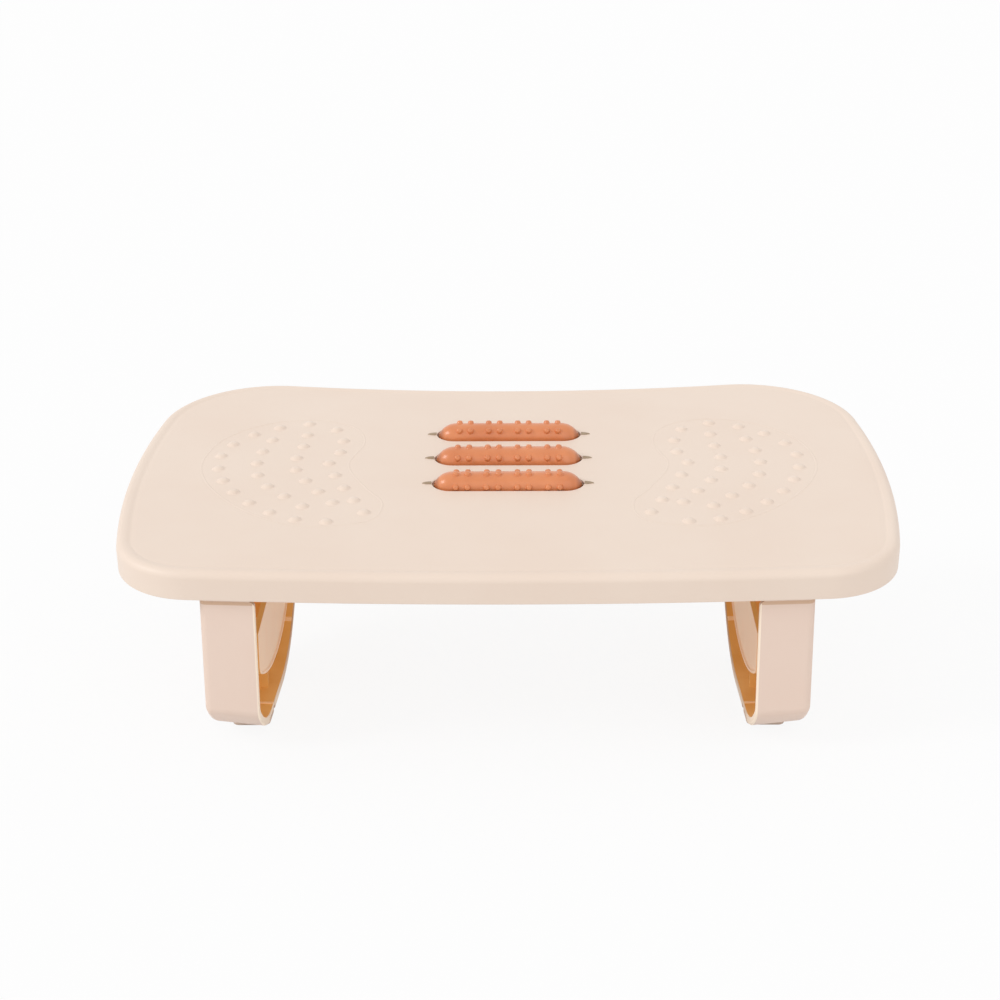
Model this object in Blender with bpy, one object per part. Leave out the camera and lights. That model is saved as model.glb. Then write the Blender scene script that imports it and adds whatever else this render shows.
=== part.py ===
"""Under-desk footrest: a sloping deck with three massage rollers, on two U-shaped legs that fold under it.

Metres, with +X to the right, +Y to the back and +Z up. The origin lies on the floor, under the middle
of the footrest. The deck and what hangs under it are drawn in the deck's own frame: x across, v up the
slope from the front edge, h square to the top surface, zero on it and negative below it.
"""

import math

import bmesh
import bpy
from mathutils import Matrix, Vector

MM = 0.001

# Whole footrest
DECK_WIDTH = 375 * MM
DECK_DEPTH = 230 * MM
OVERALL_HEIGHT = 120 * MM
TILT = math.radians(8)

# Clearances
SEAT_GAP = 0.3 * MM
RUNNING_GAP = 0.12 * MM
SCREW_GAP = 0.2 * MM

# Deck moulding
PLATE = 2.5 * MM
SKIRT_WALL = 2.5 * MM
SKIRT_DEPTH = 14 * MM
RIM_RADIUS = 3 * MM
FRONT_EDGE_RADIUS = 2200 * MM
SIDE_RADIUS = 463 * MM
WIDEST_AT = 119.5 * MM
FRONT_CORNER_RADIUS = 34 * MM
BACK_CORNER_RADIUS = 56.5 * MM
BACK_DIP = 9.2 * MM
RIB_WALL = 1.6 * MM
RIB_DEPTH = 6 * MM
RIB_END_MARGIN = 38 * MM
OUTER_RIB_PITCH = 52 * MM
BOSS_DIAMETER = 7 * MM
BOSS_DEPTH = 5.5 * MM

# Massage bumps: how many in each row, and the four points of the Bezier curve it follows on the right
BUMP_DIAMETER = 5.6 * MM
BUMP_TOP_DIAMETER = 2.6 * MM
BUMP_HEIGHT = 1.2 * MM
BUMP_ROWS = (
    (11, ((120, 168), (181, 135), (119, 51), (85, 56))),
    (7, ((122, 152), (136, 102), (112, 91), (98, 73))),
    (8, ((105, 173), (101, 112), (122, 135), (84, 77))),
    (8, ((90, 165), (67, 105), (117, 174), (68, 66))),
)

# Rollers
ROLLER_PITCH = 30.2 * MM
ROLLERS_FROM_BACK = 101.1 * MM
ROLLER_LENGTH = 73.4 * MM
ROLLER_DIAMETER = 13.9 * MM
ROLLER_SINK = 1.5 * MM
ROLLER_TAPER = 9.5 * MM
ROLLER_HUB_RADIUS = 1.4 * MM
STUD_ROWS = 6
STUD_HEIGHT = 1.4 * MM
STUD_DIAMETER = 3.1 * MM
STUD_TOP_DIAMETER = 1.9 * MM
STUD_PAIR_SPACING = 5.7 * MM
STUD_PAIR_PITCH = 15 * MM
STUD_PAIRS = 4
FIRST_STUD_ROW = {"front": math.radians(16), "middle": math.radians(33), "back": math.radians(47)}

# Roller slots, and the axle pins with the beads over their ends
SLOT_SIDE_GAP = 0.3 * MM
SLOT_END_GAP = 0.6 * MM
PIN_DIAMETER = 1.6 * MM
PIN_REACH = 4.3 * MM
BEAD_LENGTH = 5.7 * MM
BEAD_WIDTH = 3.2 * MM
BEAD_HEIGHT = 0.8 * MM

# Tray that holds the axle pins up
TRAY_WALL = 1.5 * MM
TRAY_RAIL = 4.6 * MM
TRAY_EAR = 9.2 * MM
TRAY_EAR_THICKNESS = 1.8 * MM
TRAY_EAR_WIDTH = 9 * MM

# Screws
SCREW_SHANK = 2.6 * MM
SCREW_HEAD = 5.4 * MM
SCREW_HEAD_TOP = 3.2 * MM
SCREW_HEAD_HEIGHT = 1.5 * MM
SCREW_LENGTH = 6 * MM

# Legs
LEG_EDGE_MARGIN = 50 * MM
LEG_WIDTH = 24.5 * MM
LEG_SETBACK = 8 * MM
LEG_DEPTH = 163 * MM
LEG_TOE = 40 * MM
LEG_FRONT_RADIUS = 55 * MM
LEG_FRONT_CORNER = 6 * MM
LEG_REAR_RADIUS = 90 * MM
LEG_REAR_CORNER = 20 * MM
LEG_REAR_OVERRUN = 4 * MM
LEG_WALL = 2.5 * MM
LEG_DRAFT = math.radians(3)
LEG_EDGE_RADIUS = 3 * MM
LEG_TOP_GAP = 1.3 * MM
LEG_TOP_ROUND = 3.5 * MM
LEG_RIB_WALL = 1.5 * MM
LEG_RIB_RISE = 4 * MM
LEG_RIB_PLACE = 2 / 3

# Hinge between leg and bracket
HINGE_INBOARD = 4.5 * MM
HINGE_DROP = 19 * MM
HINGE_INSET = 15 * MM
HINGE_PIN_DIAMETER = 4 * MM
HINGE_PIN_CHAMFER = 0.8 * MM
HINGE_HEAD_DIAMETER = 7 * MM
HINGE_HEAD_THICKNESS = 1.5 * MM
HINGE_HEAD_CHAMFER = 0.6 * MM
KNUCKLE_RADIUS = 4.2 * MM
KNUCKLE_THICKNESS = 3 * MM
CLIP_DIAMETER = 8 * MM
CLIP_THICKNESS = 0.8 * MM
PIN_TAIL = 1.2 * MM

# Bracket screwed under the deck
BRACKET_THICKNESS = 2 * MM
BRACKET_INNER_FLANGE = 13.5 * MM
BRACKET_OUTER_FLANGE = 6.5 * MM
BRACKET_SCREW_INBOARD = 9 * MM
BRACKET_SCREW_INSET = 14 * MM

# Cover plate inside each leg
COVER_THICKNESS = 2 * MM
COVER_RECESS = 3 * MM
COVER_FRONT_MARGIN = 21 * MM
COVER_REAR_MARGIN = 28 * MM
COVER_BOTTOM_MARGIN = 14 * MM
COVER_TOP_DROP = 42 * MM
COVER_BOTTOM_RADIUS = 112 * MM
COVER_BOTTOM_FLAT = 4 * MM
COVER_FRONT_CORNER = 6 * MM
COVER_REAR_CORNER = 10 * MM
COVER_LIP_WIDTH = 1.2 * MM
COVER_LIP_HEIGHT = 0.8 * MM
COVER_FRONT_SCREW_INSET = 51 * MM
COVER_REAR_SCREW_INSET = 15 * MM
COVER_SCREW_DROP = 7 * MM
COVER_SCREW_HEAD_HEIGHT = 1.1 * MM
POST_DIAMETER = 7 * MM

# Rubber feet, and the heel of each leg that carries its rear foot
FOOT_STAND = 2.2 * MM
FOOT_RECESS = 1.4 * MM
FOOT_LENGTH = 18 * MM
FOOT_WIDTH = 18 * MM
FOOT_CORNER = 3 * MM
FRONT_FOOT_INSET = 39 * MM
REAR_FOOT_INSET = 60 * MM
HEEL_INSET = 3 * MM
HEEL_MARGIN = 2 * MM

# Facets
SHARP_ANGLE = math.radians(35)
RIM_STEPS = 3
CORNER_STEPS = 6
FRONT_STEPS = 3
SIDE_STEPS = 4
BACK_STEPS = 5
ROUND_STEPS = 12
SCREW_STEPS = 8
ROLLER_STEPS = 16
TAPER_STEPS = 3
STUD_STEPS = 6
BUMP_STEPS = 8
SMALL_CORNER_STEPS = 3
TOE_STEPS = 6
HEEL_STEPS = 3
CURVE_STEPS = 200


def clear_scene():
    for item in list(bpy.data.objects):
        bpy.data.objects.remove(item)


def plastic(name, colour, roughness, metallic=0.0):
    material = bpy.data.materials.new(name)
    material.use_nodes = True
    shader = material.node_tree.nodes["Principled BSDF"]
    shader.inputs["Base Color"].default_value = (*colour, 1.0)
    shader.inputs["Roughness"].default_value = roughness
    shader.inputs["Metallic"].default_value = metallic
    material.diffuse_color = (*colour, 1.0)
    return material


def bend(centre, radius, start, end, steps):
    """Points of an arc, both ends included."""
    points = []
    for step in range(steps + 1):
        angle = start + (end - start) * step / steps
        points.append((centre[0] + radius * math.cos(angle), centre[1] + radius * math.sin(angle)))
    return points


def finish_mesh(name, work):
    """Welds, turns the faces out and shades the round surfaces smooth."""
    bmesh.ops.remove_doubles(work, verts=work.verts, dist=0.01 * MM)
    bmesh.ops.recalc_face_normals(work, faces=work.faces)
    mesh = bpy.data.meshes.new(name)
    work.to_mesh(mesh)
    work.free()
    mesh.shade_smooth()
    mesh.set_sharp_from_angle(angle=SHARP_ANGLE)
    return mesh


def add_loft(work, rings):
    """A closed body through rings of as many points each, with a flat cap on both ends."""
    rows = [[work.verts.new(point) for point in ring] for ring in rings]
    count = len(rows[0])
    for low, high in zip(rows, rows[1:]):
        for index in range(count):
            after = (index + 1) % count
            work.faces.new((low[index], low[after], high[after], high[index]))
    work.faces.new(list(reversed(rows[0])))
    work.faces.new(rows[-1])


def circle(radius, steps):
    """Corners of a round section, none of them on the axes."""
    start = math.pi / steps
    return bend((0, 0), radius, start, start + 2 * math.pi * (steps - 1) / steps, steps - 1)


def add_turned(work, profile, place, steps=ROUND_STEPS):
    """A body turned from (radius, height) points, placed by a matrix whose Z is the turning axis."""
    rings = []
    for radius, height in profile:
        rings.append([place @ Vector((x, y, height)) for x, y in circle(radius, steps)])
    add_loft(work, rings)


def add_turned_ring(work, outer, inner, place, steps):
    """The same with a bore: the outer profile runs up, and the inner one closes it back down."""
    rows = []
    for radius, height in outer + inner[::-1]:
        rows.append([work.verts.new(place @ Vector((x, y, height))) for x, y in circle(radius, steps)])
    for low, high in zip(rows, rows[1:] + rows[:1]):
        for index in range(steps):
            after = (index + 1) % steps
            work.faces.new((low[index], low[after], high[after], high[index]))


def add_box(work, low, high):
    rings = []
    for height in (low[2], high[2]):
        corners = ((low[0], low[1]), (high[0], low[1]), (high[0], high[1]), (low[0], high[1]))
        rings.append([(x, y, height) for x, y in corners])
    add_loft(work, rings)


def along(x, y, z, direction):
    """A matrix at a point, whose Z runs along a direction."""
    turn = Vector((0, 0, 1)).rotation_difference(Vector(direction)).to_matrix().to_4x4()
    return Matrix.Translation((x, y, z)) @ turn


def corner_centre():
    """Centre of the front right corner, which meets the long arcs of the front edge and of the side."""
    side = (DECK_WIDTH / 2 - SIDE_RADIUS, WIDEST_AT)
    across = side[0]
    away = side[1] - FRONT_EDGE_RADIUS
    span = math.hypot(across, away)
    from_front = FRONT_EDGE_RADIUS - FRONT_CORNER_RADIUS
    from_side = SIDE_RADIUS - FRONT_CORNER_RADIUS
    reach = (from_front**2 - from_side**2 + span**2) / (2 * span)
    rise = math.sqrt(from_front**2 - reach**2)
    x = (across * reach - away * rise) / span
    v = FRONT_EDGE_RADIUS + (away * reach + across * rise) / span
    return x, v


def deck_outline(inset=0.0):
    """The deck's edge, seen square to the top, starting at the front middle and going round anticlockwise."""
    side_x = DECK_WIDTH / 2 - SIDE_RADIUS
    front_x, front_v = corner_centre()
    back_v = DECK_DEPTH - BACK_CORNER_RADIUS
    back_reach = SIDE_RADIUS - BACK_CORNER_RADIUS
    back_x = side_x + math.sqrt(back_reach**2 - (back_v - WIDEST_AT) ** 2)
    dip_reach = (back_x**2 + BACK_DIP**2) / (2 * BACK_DIP)
    dip_v = back_v + dip_reach - BACK_DIP
    edge_turn = math.atan2(front_v - FRONT_EDGE_RADIUS, front_x)
    front_turn = math.atan2(front_v - WIDEST_AT, front_x - side_x)
    back_turn = math.atan2(back_v - WIDEST_AT, back_x - side_x)
    dip_turn = math.atan2(dip_v - back_v, -back_x)
    right = bend((0, FRONT_EDGE_RADIUS), FRONT_EDGE_RADIUS - inset, -math.pi / 2, edge_turn, FRONT_STEPS)
    right += bend((front_x, front_v), FRONT_CORNER_RADIUS - inset, edge_turn, front_turn, CORNER_STEPS)[1:]
    right += bend((side_x, WIDEST_AT), SIDE_RADIUS - inset, front_turn, back_turn, SIDE_STEPS)[1:]
    right += bend((back_x, back_v), BACK_CORNER_RADIUS - inset, back_turn, dip_turn, CORNER_STEPS)[1:]
    dip_radius = dip_reach - BACK_CORNER_RADIUS + inset
    right += bend((0, dip_v), dip_radius, dip_turn - math.pi, -math.pi / 2, BACK_STEPS)[1:]
    left = [(-x, v) for x, v in reversed(right[1:-1])]
    return right + left


def crossing(outline, axis, value, highest):
    """Where an outline crosses a line x = value (axis 0) or v = value (axis 1), at its far side."""
    found = []
    for start, end in zip(outline, outline[1:] + outline[:1]):
        low, high = sorted((start[axis], end[axis]))
        if low <= value <= high and high > low:
            share = (value - start[axis]) / (end[axis] - start[axis])
            found.append(start[1 - axis] + share * (end[1 - axis] - start[1 - axis]))
    return max(found) if highest else min(found)


def deck_rings():
    rings = []
    for step in range(RIM_STEPS + 1):
        angle = math.pi / 2 * step / RIM_STEPS
        inset = RIM_RADIUS * (1 - math.sin(angle))
        rings.append([(x, v, -RIM_RADIUS * (1 - math.cos(angle))) for x, v in deck_outline(inset)])
    rings.append([(x, v, -SKIRT_DEPTH) for x, v in deck_outline()])
    rings.append([(x, v, -SKIRT_DEPTH) for x, v in deck_outline(SKIRT_WALL)])
    rings.append([(x, v, -PLATE) for x, v in deck_outline(SKIRT_WALL)])
    return rings


def deck_matrix():
    """The deck's frame: tilted, centred over the origin, its highest point at the overall height."""
    turn = Matrix.Rotation(TILT, 4, "X")
    points = [turn @ Vector(point) for ring in deck_rings() for point in ring]
    middle = (min(point.y for point in points) + max(point.y for point in points)) / 2
    top = max(point.z for point in points)
    return Matrix.Translation((0, -middle, OVERALL_HEIGHT - top)) @ turn


DECK = deck_matrix()
FLOOR = Matrix.Translation((0, DECK.translation.y, 0))


def above_floor(y, h):
    """Height above the floor of the plane at h in the deck's frame, y behind the deck's front edge."""
    return DECK.translation.z + y * math.tan(TILT) + h / math.cos(TILT)


def up_slope(y, h):
    """The v of the point on that plane, y behind the deck's front edge."""
    return (y + h * math.sin(TILT)) / math.cos(TILT)


def add_empty(name, parent, place):
    empty = bpy.data.objects.new(name, None)
    bpy.context.collection.objects.link(empty)
    empty.parent = parent
    empty.matrix_basis = place
    return empty


def add_piece(name, work, material, parent, frame):
    """One sub-part, drawn in a frame (DECK or FLOOR) and carried by a parent."""
    piece = bpy.data.objects.new(name, finish_mesh(name, work))
    bpy.context.collection.objects.link(piece)
    if material:
        piece.data.materials.append(material)
    bpy.context.view_layer.update()
    piece.parent = parent
    piece.matrix_parent_inverse = parent.matrix_world.inverted() @ frame
    return piece


def join_or_cut(piece, name, work, operation, frame):
    """Joins a shape to a piece, or cuts it out of it."""
    tool = add_piece(f"{piece.name}_{name}", work, None, piece.parent, frame)
    tool.hide_render = True
    tool.display_type = "WIRE"
    modifier = piece.modifiers.new(name, "BOOLEAN")
    modifier.operation = operation
    modifier.object = tool
    modifier.solver = "EXACT"


def bezier_row(count, corners):
    """Evenly spaced points along a cubic Bezier curve."""
    fine = []
    for step in range(CURVE_STEPS + 1):
        t = step / CURVE_STEPS
        weights = ((1 - t) ** 3, 3 * (1 - t) ** 2 * t, 3 * (1 - t) * t**2, t**3)
        fine.append(tuple(MM * sum(w * c[axis] for w, c in zip(weights, corners)) for axis in (0, 1)))
    lengths = [0.0]
    for start, end in zip(fine, fine[1:]):
        lengths.append(lengths[-1] + math.dist(start, end))
    row = []
    for place in range(count):
        target = lengths[-1] * place / (count - 1)
        nearest = min(range(len(fine)), key=lambda index: abs(lengths[index] - target))
        row.append(fine[nearest])
    return row


# Sizes that follow from the driving ones
SCREW_HOLE = SCREW_SHANK / 2 + SCREW_GAP
MIDDLE_ROLLER_AT = DECK_DEPTH - ROLLERS_FROM_BACK
ROLLERS_AT = {
    "front": MIDDLE_ROLLER_AT - ROLLER_PITCH,
    "middle": MIDDLE_ROLLER_AT,
    "back": MIDDLE_ROLLER_AT + ROLLER_PITCH,
}
STUD_REACH = ROLLER_DIAMETER / 2 + STUD_HEIGHT
SLOT_HALF_WIDTH = STUD_REACH + SLOT_SIDE_GAP
SLOT_HALF_LENGTH = ROLLER_LENGTH / 2 + SLOT_END_GAP
PIN_HALF_LENGTH = SLOT_HALF_LENGTH + PIN_REACH
TRAY_INNER_X = SLOT_HALF_LENGTH + SEAT_GAP
TRAY_OUTER_X = TRAY_INNER_X + TRAY_RAIL
TRAY_TOP = -PLATE - SEAT_GAP
TRAY_FLOOR_TOP = -ROLLER_SINK - STUD_REACH - 2 * SEAT_GAP
TRAY_BOTTOM = TRAY_FLOOR_TOP - TRAY_WALL
TRAY_FRONT = ROLLERS_AT["front"] - STUD_REACH - 2 * SEAT_GAP - TRAY_WALL
TRAY_BACK = ROLLERS_AT["back"] + STUD_REACH + 2 * SEAT_GAP + TRAY_WALL
BOSS_END = -PLATE - BOSS_DEPTH
EAR_TOP = BOSS_END - SEAT_GAP
TRAY_SCREW_X = TRAY_OUTER_X + TRAY_EAR / 2
TRAY_SCREWS = [
    (side * TRAY_SCREW_X, v)
    for side in (-1, 1)
    for v in (TRAY_FRONT + TRAY_EAR_WIDTH / 2, TRAY_BACK - TRAY_EAR_WIDTH / 2)
]
LEG_OUTER_AT = DECK_WIDTH / 2 - LEG_EDGE_MARGIN
LEG_INNER_AT = LEG_OUTER_AT - LEG_WIDTH
HINGE_X = LEG_INNER_AT + HINGE_INBOARD
FRONT_LUG_AT = up_slope(LEG_SETBACK + LEG_WALL, -HINGE_DROP) + HINGE_INSET
REAR_LUG_END = up_slope(LEG_SETBACK + LEG_DEPTH - LEG_WALL, -HINGE_DROP) - HINGE_INSET
BRACKET_FRONT = FRONT_LUG_AT + KNUCKLE_THICKNESS + SEAT_GAP
BRACKET_BACK = REAR_LUG_END - KNUCKLE_THICKNESS - SEAT_GAP
BRACKET_SCREW_X = HINGE_X - BRACKET_SCREW_INBOARD
BRACKET_SCREW_VS = (
    BRACKET_FRONT + BRACKET_SCREW_INSET,
    (BRACKET_FRONT + BRACKET_BACK) / 2,
    BRACKET_BACK - BRACKET_SCREW_INSET,
)
WEB_FACE_X = LEG_OUTER_AT - LEG_WALL
COVER_FACE_X = LEG_INNER_AT + COVER_RECESS
COVER_BACK_X = COVER_FACE_X + COVER_THICKNESS
COVER_FRONT = LEG_SETBACK + COVER_FRONT_MARGIN
COVER_REAR = LEG_SETBACK + LEG_DEPTH - COVER_REAR_MARGIN
COVER_BOTTOM = FOOT_STAND + COVER_BOTTOM_MARGIN
COVER_SCREWS = [
    (y, above_floor(y, -COVER_TOP_DROP - COVER_SCREW_DROP))
    for y in (COVER_FRONT + COVER_FRONT_SCREW_INSET, COVER_REAR - COVER_REAR_SCREW_INSET)
]
LEG_REAR_CENTRE = LEG_SETBACK + LEG_DEPTH + LEG_REAR_OVERRUN - LEG_REAR_RADIUS
LEG_SHAPE = {
    "front": LEG_SETBACK,
    "rear": LEG_SETBACK + LEG_DEPTH,
    "bottom": FOOT_STAND,
    "toe": LEG_SETBACK + LEG_TOE,
    "heel": LEG_REAR_CENTRE,
    "front_radius": LEG_FRONT_RADIUS,
    "rear_radius": LEG_REAR_RADIUS,
    "front_corner": LEG_FRONT_CORNER,
    "rear_corner": LEG_REAR_CORNER,
}
COVER_SHAPE = {
    "front": COVER_FRONT,
    "rear": COVER_REAR,
    "bottom": COVER_BOTTOM,
    "toe": LEG_REAR_CENTRE - COVER_BOTTOM_FLAT,
    "heel": LEG_REAR_CENTRE,
    "front_radius": COVER_BOTTOM_RADIUS,
    "rear_radius": COVER_BOTTOM_RADIUS,
    "front_corner": COVER_FRONT_CORNER,
    "rear_corner": COVER_REAR_CORNER,
}
FOOT_CENTRES = {
    "front": LEG_SETBACK + FRONT_FOOT_INSET,
    "rear": LEG_SETBACK + LEG_DEPTH - REAR_FOOT_INSET,
}
FOOT_INNER_X = {"front": LEG_INNER_AT, "rear": LEG_INNER_AT + HEEL_INSET}


def slot_outline(half_length, half_width, taper, v):
    """A long slot whose ends run to a point, each side of it an arc."""
    radius = (taper**2 + half_width**2) / (2 * half_width)
    spread = math.asin(taper / radius)
    shoulder = half_length - taper
    upper = bend((shoulder, v + half_width - radius), radius, math.pi / 2 - spread, math.pi / 2, TAPER_STEPS)
    upper = upper + [(-x, across) for x, across in reversed(upper)]
    lower = [(x, 2 * v - across) for x, across in reversed(upper)]
    return upper + lower[1:-1]


def make_deck(parent, material):
    work = bmesh.new()
    add_loft(work, deck_rings())
    deck = add_piece("top_deck", work, material, parent, DECK)

    bumps = bmesh.new()
    root = PLATE / 2
    flare = (BUMP_DIAMETER - BUMP_TOP_DIAMETER) / 2 * root / BUMP_HEIGHT
    profile = ((BUMP_DIAMETER / 2 + flare, -root), (BUMP_TOP_DIAMETER / 2, BUMP_HEIGHT))
    for count, corners in BUMP_ROWS:
        for x, v in bezier_row(count, corners):
            for side in (-1, 1):
                add_turned(bumps, profile, Matrix.Translation((side * x, v, 0)), BUMP_STEPS)
    join_or_cut(deck, "bumps", bumps, "UNION", DECK)

    beads = bmesh.new()
    for v in ROLLERS_AT.values():
        for side in (-1, 1):
            profile = []
            for step in range(1, ROUND_STEPS // 2):
                angle = math.pi * step / (ROUND_STEPS // 2)
                profile.append((math.sin(angle), -math.cos(angle)))
            squash = Matrix.Diagonal((BEAD_WIDTH / 2, BEAD_HEIGHT, BEAD_LENGTH, 1))
            turn = Matrix(((0, 0, 1, 0), (1, 0, 0, 0), (0, 1, 0, 0), (0, 0, 0, 1)))
            place = Matrix.Translation((side * SLOT_HALF_LENGTH, v, 0)) @ turn @ squash
            add_turned(beads, profile, place, ROUND_STEPS)
    join_or_cut(deck, "beads", beads, "UNION", DECK)

    slots = bmesh.new()
    for v in ROLLERS_AT.values():
        taper = ROLLER_TAPER + SLOT_END_GAP / 2
        outline = slot_outline(SLOT_HALF_LENGTH, SLOT_HALF_WIDTH, taper, v)
        rings = [[(x, across, h) for x, across in outline] for h in (-2 * PLATE, BEAD_HEIGHT + PLATE)]
        add_loft(slots, rings)
    join_or_cut(deck, "slots", slots, "DIFFERENCE", DECK)

    grooves = bmesh.new()
    groove_half = PIN_DIAMETER / 2 + SEAT_GAP / 2
    groove_top = -ROLLER_SINK + PIN_DIAMETER / 2 + SEAT_GAP / 2
    reach = PIN_HALF_LENGTH + SEAT_GAP
    for v in ROLLERS_AT.values():
        for low_x, high_x in ((-reach, -SLOT_HALF_LENGTH + ROLLER_TAPER), (SLOT_HALF_LENGTH - ROLLER_TAPER, reach)):
            add_box(grooves, (low_x, v - groove_half, -2 * PLATE), (high_x, v + groove_half, groove_top))
    join_or_cut(deck, "grooves", grooves, "DIFFERENCE", DECK)

    rib_low = -PLATE - RIB_DEPTH
    rib_high = -PLATE / 2
    inner_edge = deck_outline(SKIRT_WALL / 2)
    cross_x = TRAY_SCREW_X + TRAY_EAR / 2 + BOSS_DIAMETER
    cross_ribs = bmesh.new()
    for side in (-1, 1):
        x = side * cross_x
        back = crossing(inner_edge, 0, x, True)
        front = crossing(inner_edge, 0, x, False)
        add_box(cross_ribs, (x - RIB_WALL / 2, front, rib_low), (x + RIB_WALL / 2, back, rib_high))
    join_or_cut(deck, "cross_ribs", cross_ribs, "UNION", DECK)

    long_ribs = bmesh.new()
    reach = BRACKET_SCREW_X - BOSS_DIAMETER
    for v in (RIB_END_MARGIN, DECK_DEPTH - RIB_END_MARGIN):
        add_box(long_ribs, (-reach, v - RIB_WALL / 2, rib_low), (reach, v + RIB_WALL / 2, rib_high))
    join_or_cut(deck, "long_ribs", long_ribs, "UNION", DECK)

    outer_ribs = bmesh.new()
    swing = math.hypot(LEG_OUTER_AT - HINGE_X, HINGE_DROP - PLATE)
    start = HINGE_X + swing + 2 * LEG_WALL
    for step in (-1, 0, 1):
        v = WIDEST_AT + step * OUTER_RIB_PITCH
        end = crossing(inner_edge, 1, v, True)
        add_box(outer_ribs, (start, v - RIB_WALL / 2, rib_low), (end, v + RIB_WALL / 2, rib_high))
        add_box(outer_ribs, (-end, v - RIB_WALL / 2, rib_low), (-start, v + RIB_WALL / 2, rib_high))
    join_or_cut(deck, "outer_ribs", outer_ribs, "UNION", DECK)

    spots = TRAY_SCREWS + [(side * BRACKET_SCREW_X, v) for side in (-1, 1) for v in BRACKET_SCREW_VS]
    bosses = bmesh.new()
    holes = bmesh.new()
    for x, v in spots:
        place = Matrix.Translation((x, v, 0))
        add_turned(bosses, ((BOSS_DIAMETER / 2, BOSS_END), (BOSS_DIAMETER / 2, -PLATE / 2)), place)
        add_turned(holes, ((SCREW_HOLE, BOSS_END - PLATE), (SCREW_HOLE, -PLATE)), place, SCREW_STEPS)
    join_or_cut(deck, "bosses", bosses, "UNION", DECK)
    join_or_cut(deck, "boss_holes", holes, "DIFFERENCE", DECK)


def roller_profile():
    """(radius, distance from the middle) of the roller's outside, from one end to the other."""
    half_length = ROLLER_LENGTH / 2
    radius = ROLLER_DIAMETER / 2
    sweep = (ROLLER_TAPER**2 + radius**2) / (2 * radius)
    shoulder = half_length - ROLLER_TAPER
    end = shoulder + math.sqrt(sweep**2 - (sweep - radius + ROLLER_HUB_RADIUS) ** 2)
    right = []
    for step in range(TAPER_STEPS + 1):
        along_axis = shoulder + (end - shoulder) * math.sin(math.pi / 2 * step / TAPER_STEPS)
        across = math.sqrt(sweep**2 - (along_axis - shoulder) ** 2) - sweep + radius
        right.append((across, along_axis))
    return [(across, -place) for across, place in reversed(right)] + right


def make_roller(place_name, deck_frame, material):
    axle = add_empty(
        f"{place_name}_roller_axis",
        deck_frame,
        Matrix.Translation((0, ROLLERS_AT[place_name], -ROLLER_SINK)),
    )
    bpy.context.view_layer.update()
    frame = DECK @ axle.matrix_basis
    to_x = along(0, 0, 0, (1, 0, 0))
    outer = roller_profile()
    bore = PIN_DIAMETER / 2 + RUNNING_GAP
    bore_corner = bore / math.cos(math.pi / ROLLER_STEPS)
    inner = [(bore_corner, outer[0][1]), (bore_corner, outer[-1][1])]
    work = bmesh.new()
    add_turned_ring(work, outer, inner, to_x, ROLLER_STEPS)
    roller = add_piece(f"roller_{place_name}", work, material, axle, frame)

    studs = bmesh.new()
    base = ROLLER_DIAMETER / 2 - STUD_HEIGHT
    for row in range(STUD_ROWS):
        angle = FIRST_STUD_ROW[place_name] + 2 * math.pi * row / STUD_ROWS
        direction = Vector((0, -math.cos(angle), math.sin(angle)))
        for pair in range(STUD_PAIRS):
            for half in (-0.5, 0.5):
                x = (pair - (STUD_PAIRS - 1) / 2) * STUD_PAIR_PITCH + half * STUD_PAIR_SPACING
                place = along(x, direction.y * base, direction.z * base, direction)
                profile = ((STUD_DIAMETER / 2, 0), (STUD_TOP_DIAMETER / 2, 2 * STUD_HEIGHT))
                add_turned(studs, profile, place, STUD_STEPS)
    join_or_cut(roller, "studs", studs, "UNION", frame)


def make_roller_pin(place_name, parent, material):
    work = bmesh.new()
    place = along(0, ROLLERS_AT[place_name], -ROLLER_SINK, (1, 0, 0))
    radius = PIN_DIAMETER / 2
    add_turned(work, ((radius, -PIN_HALF_LENGTH), (radius, PIN_HALF_LENGTH)), place)
    add_piece(f"roller_pin_{place_name}", work, material, parent, DECK)


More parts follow.
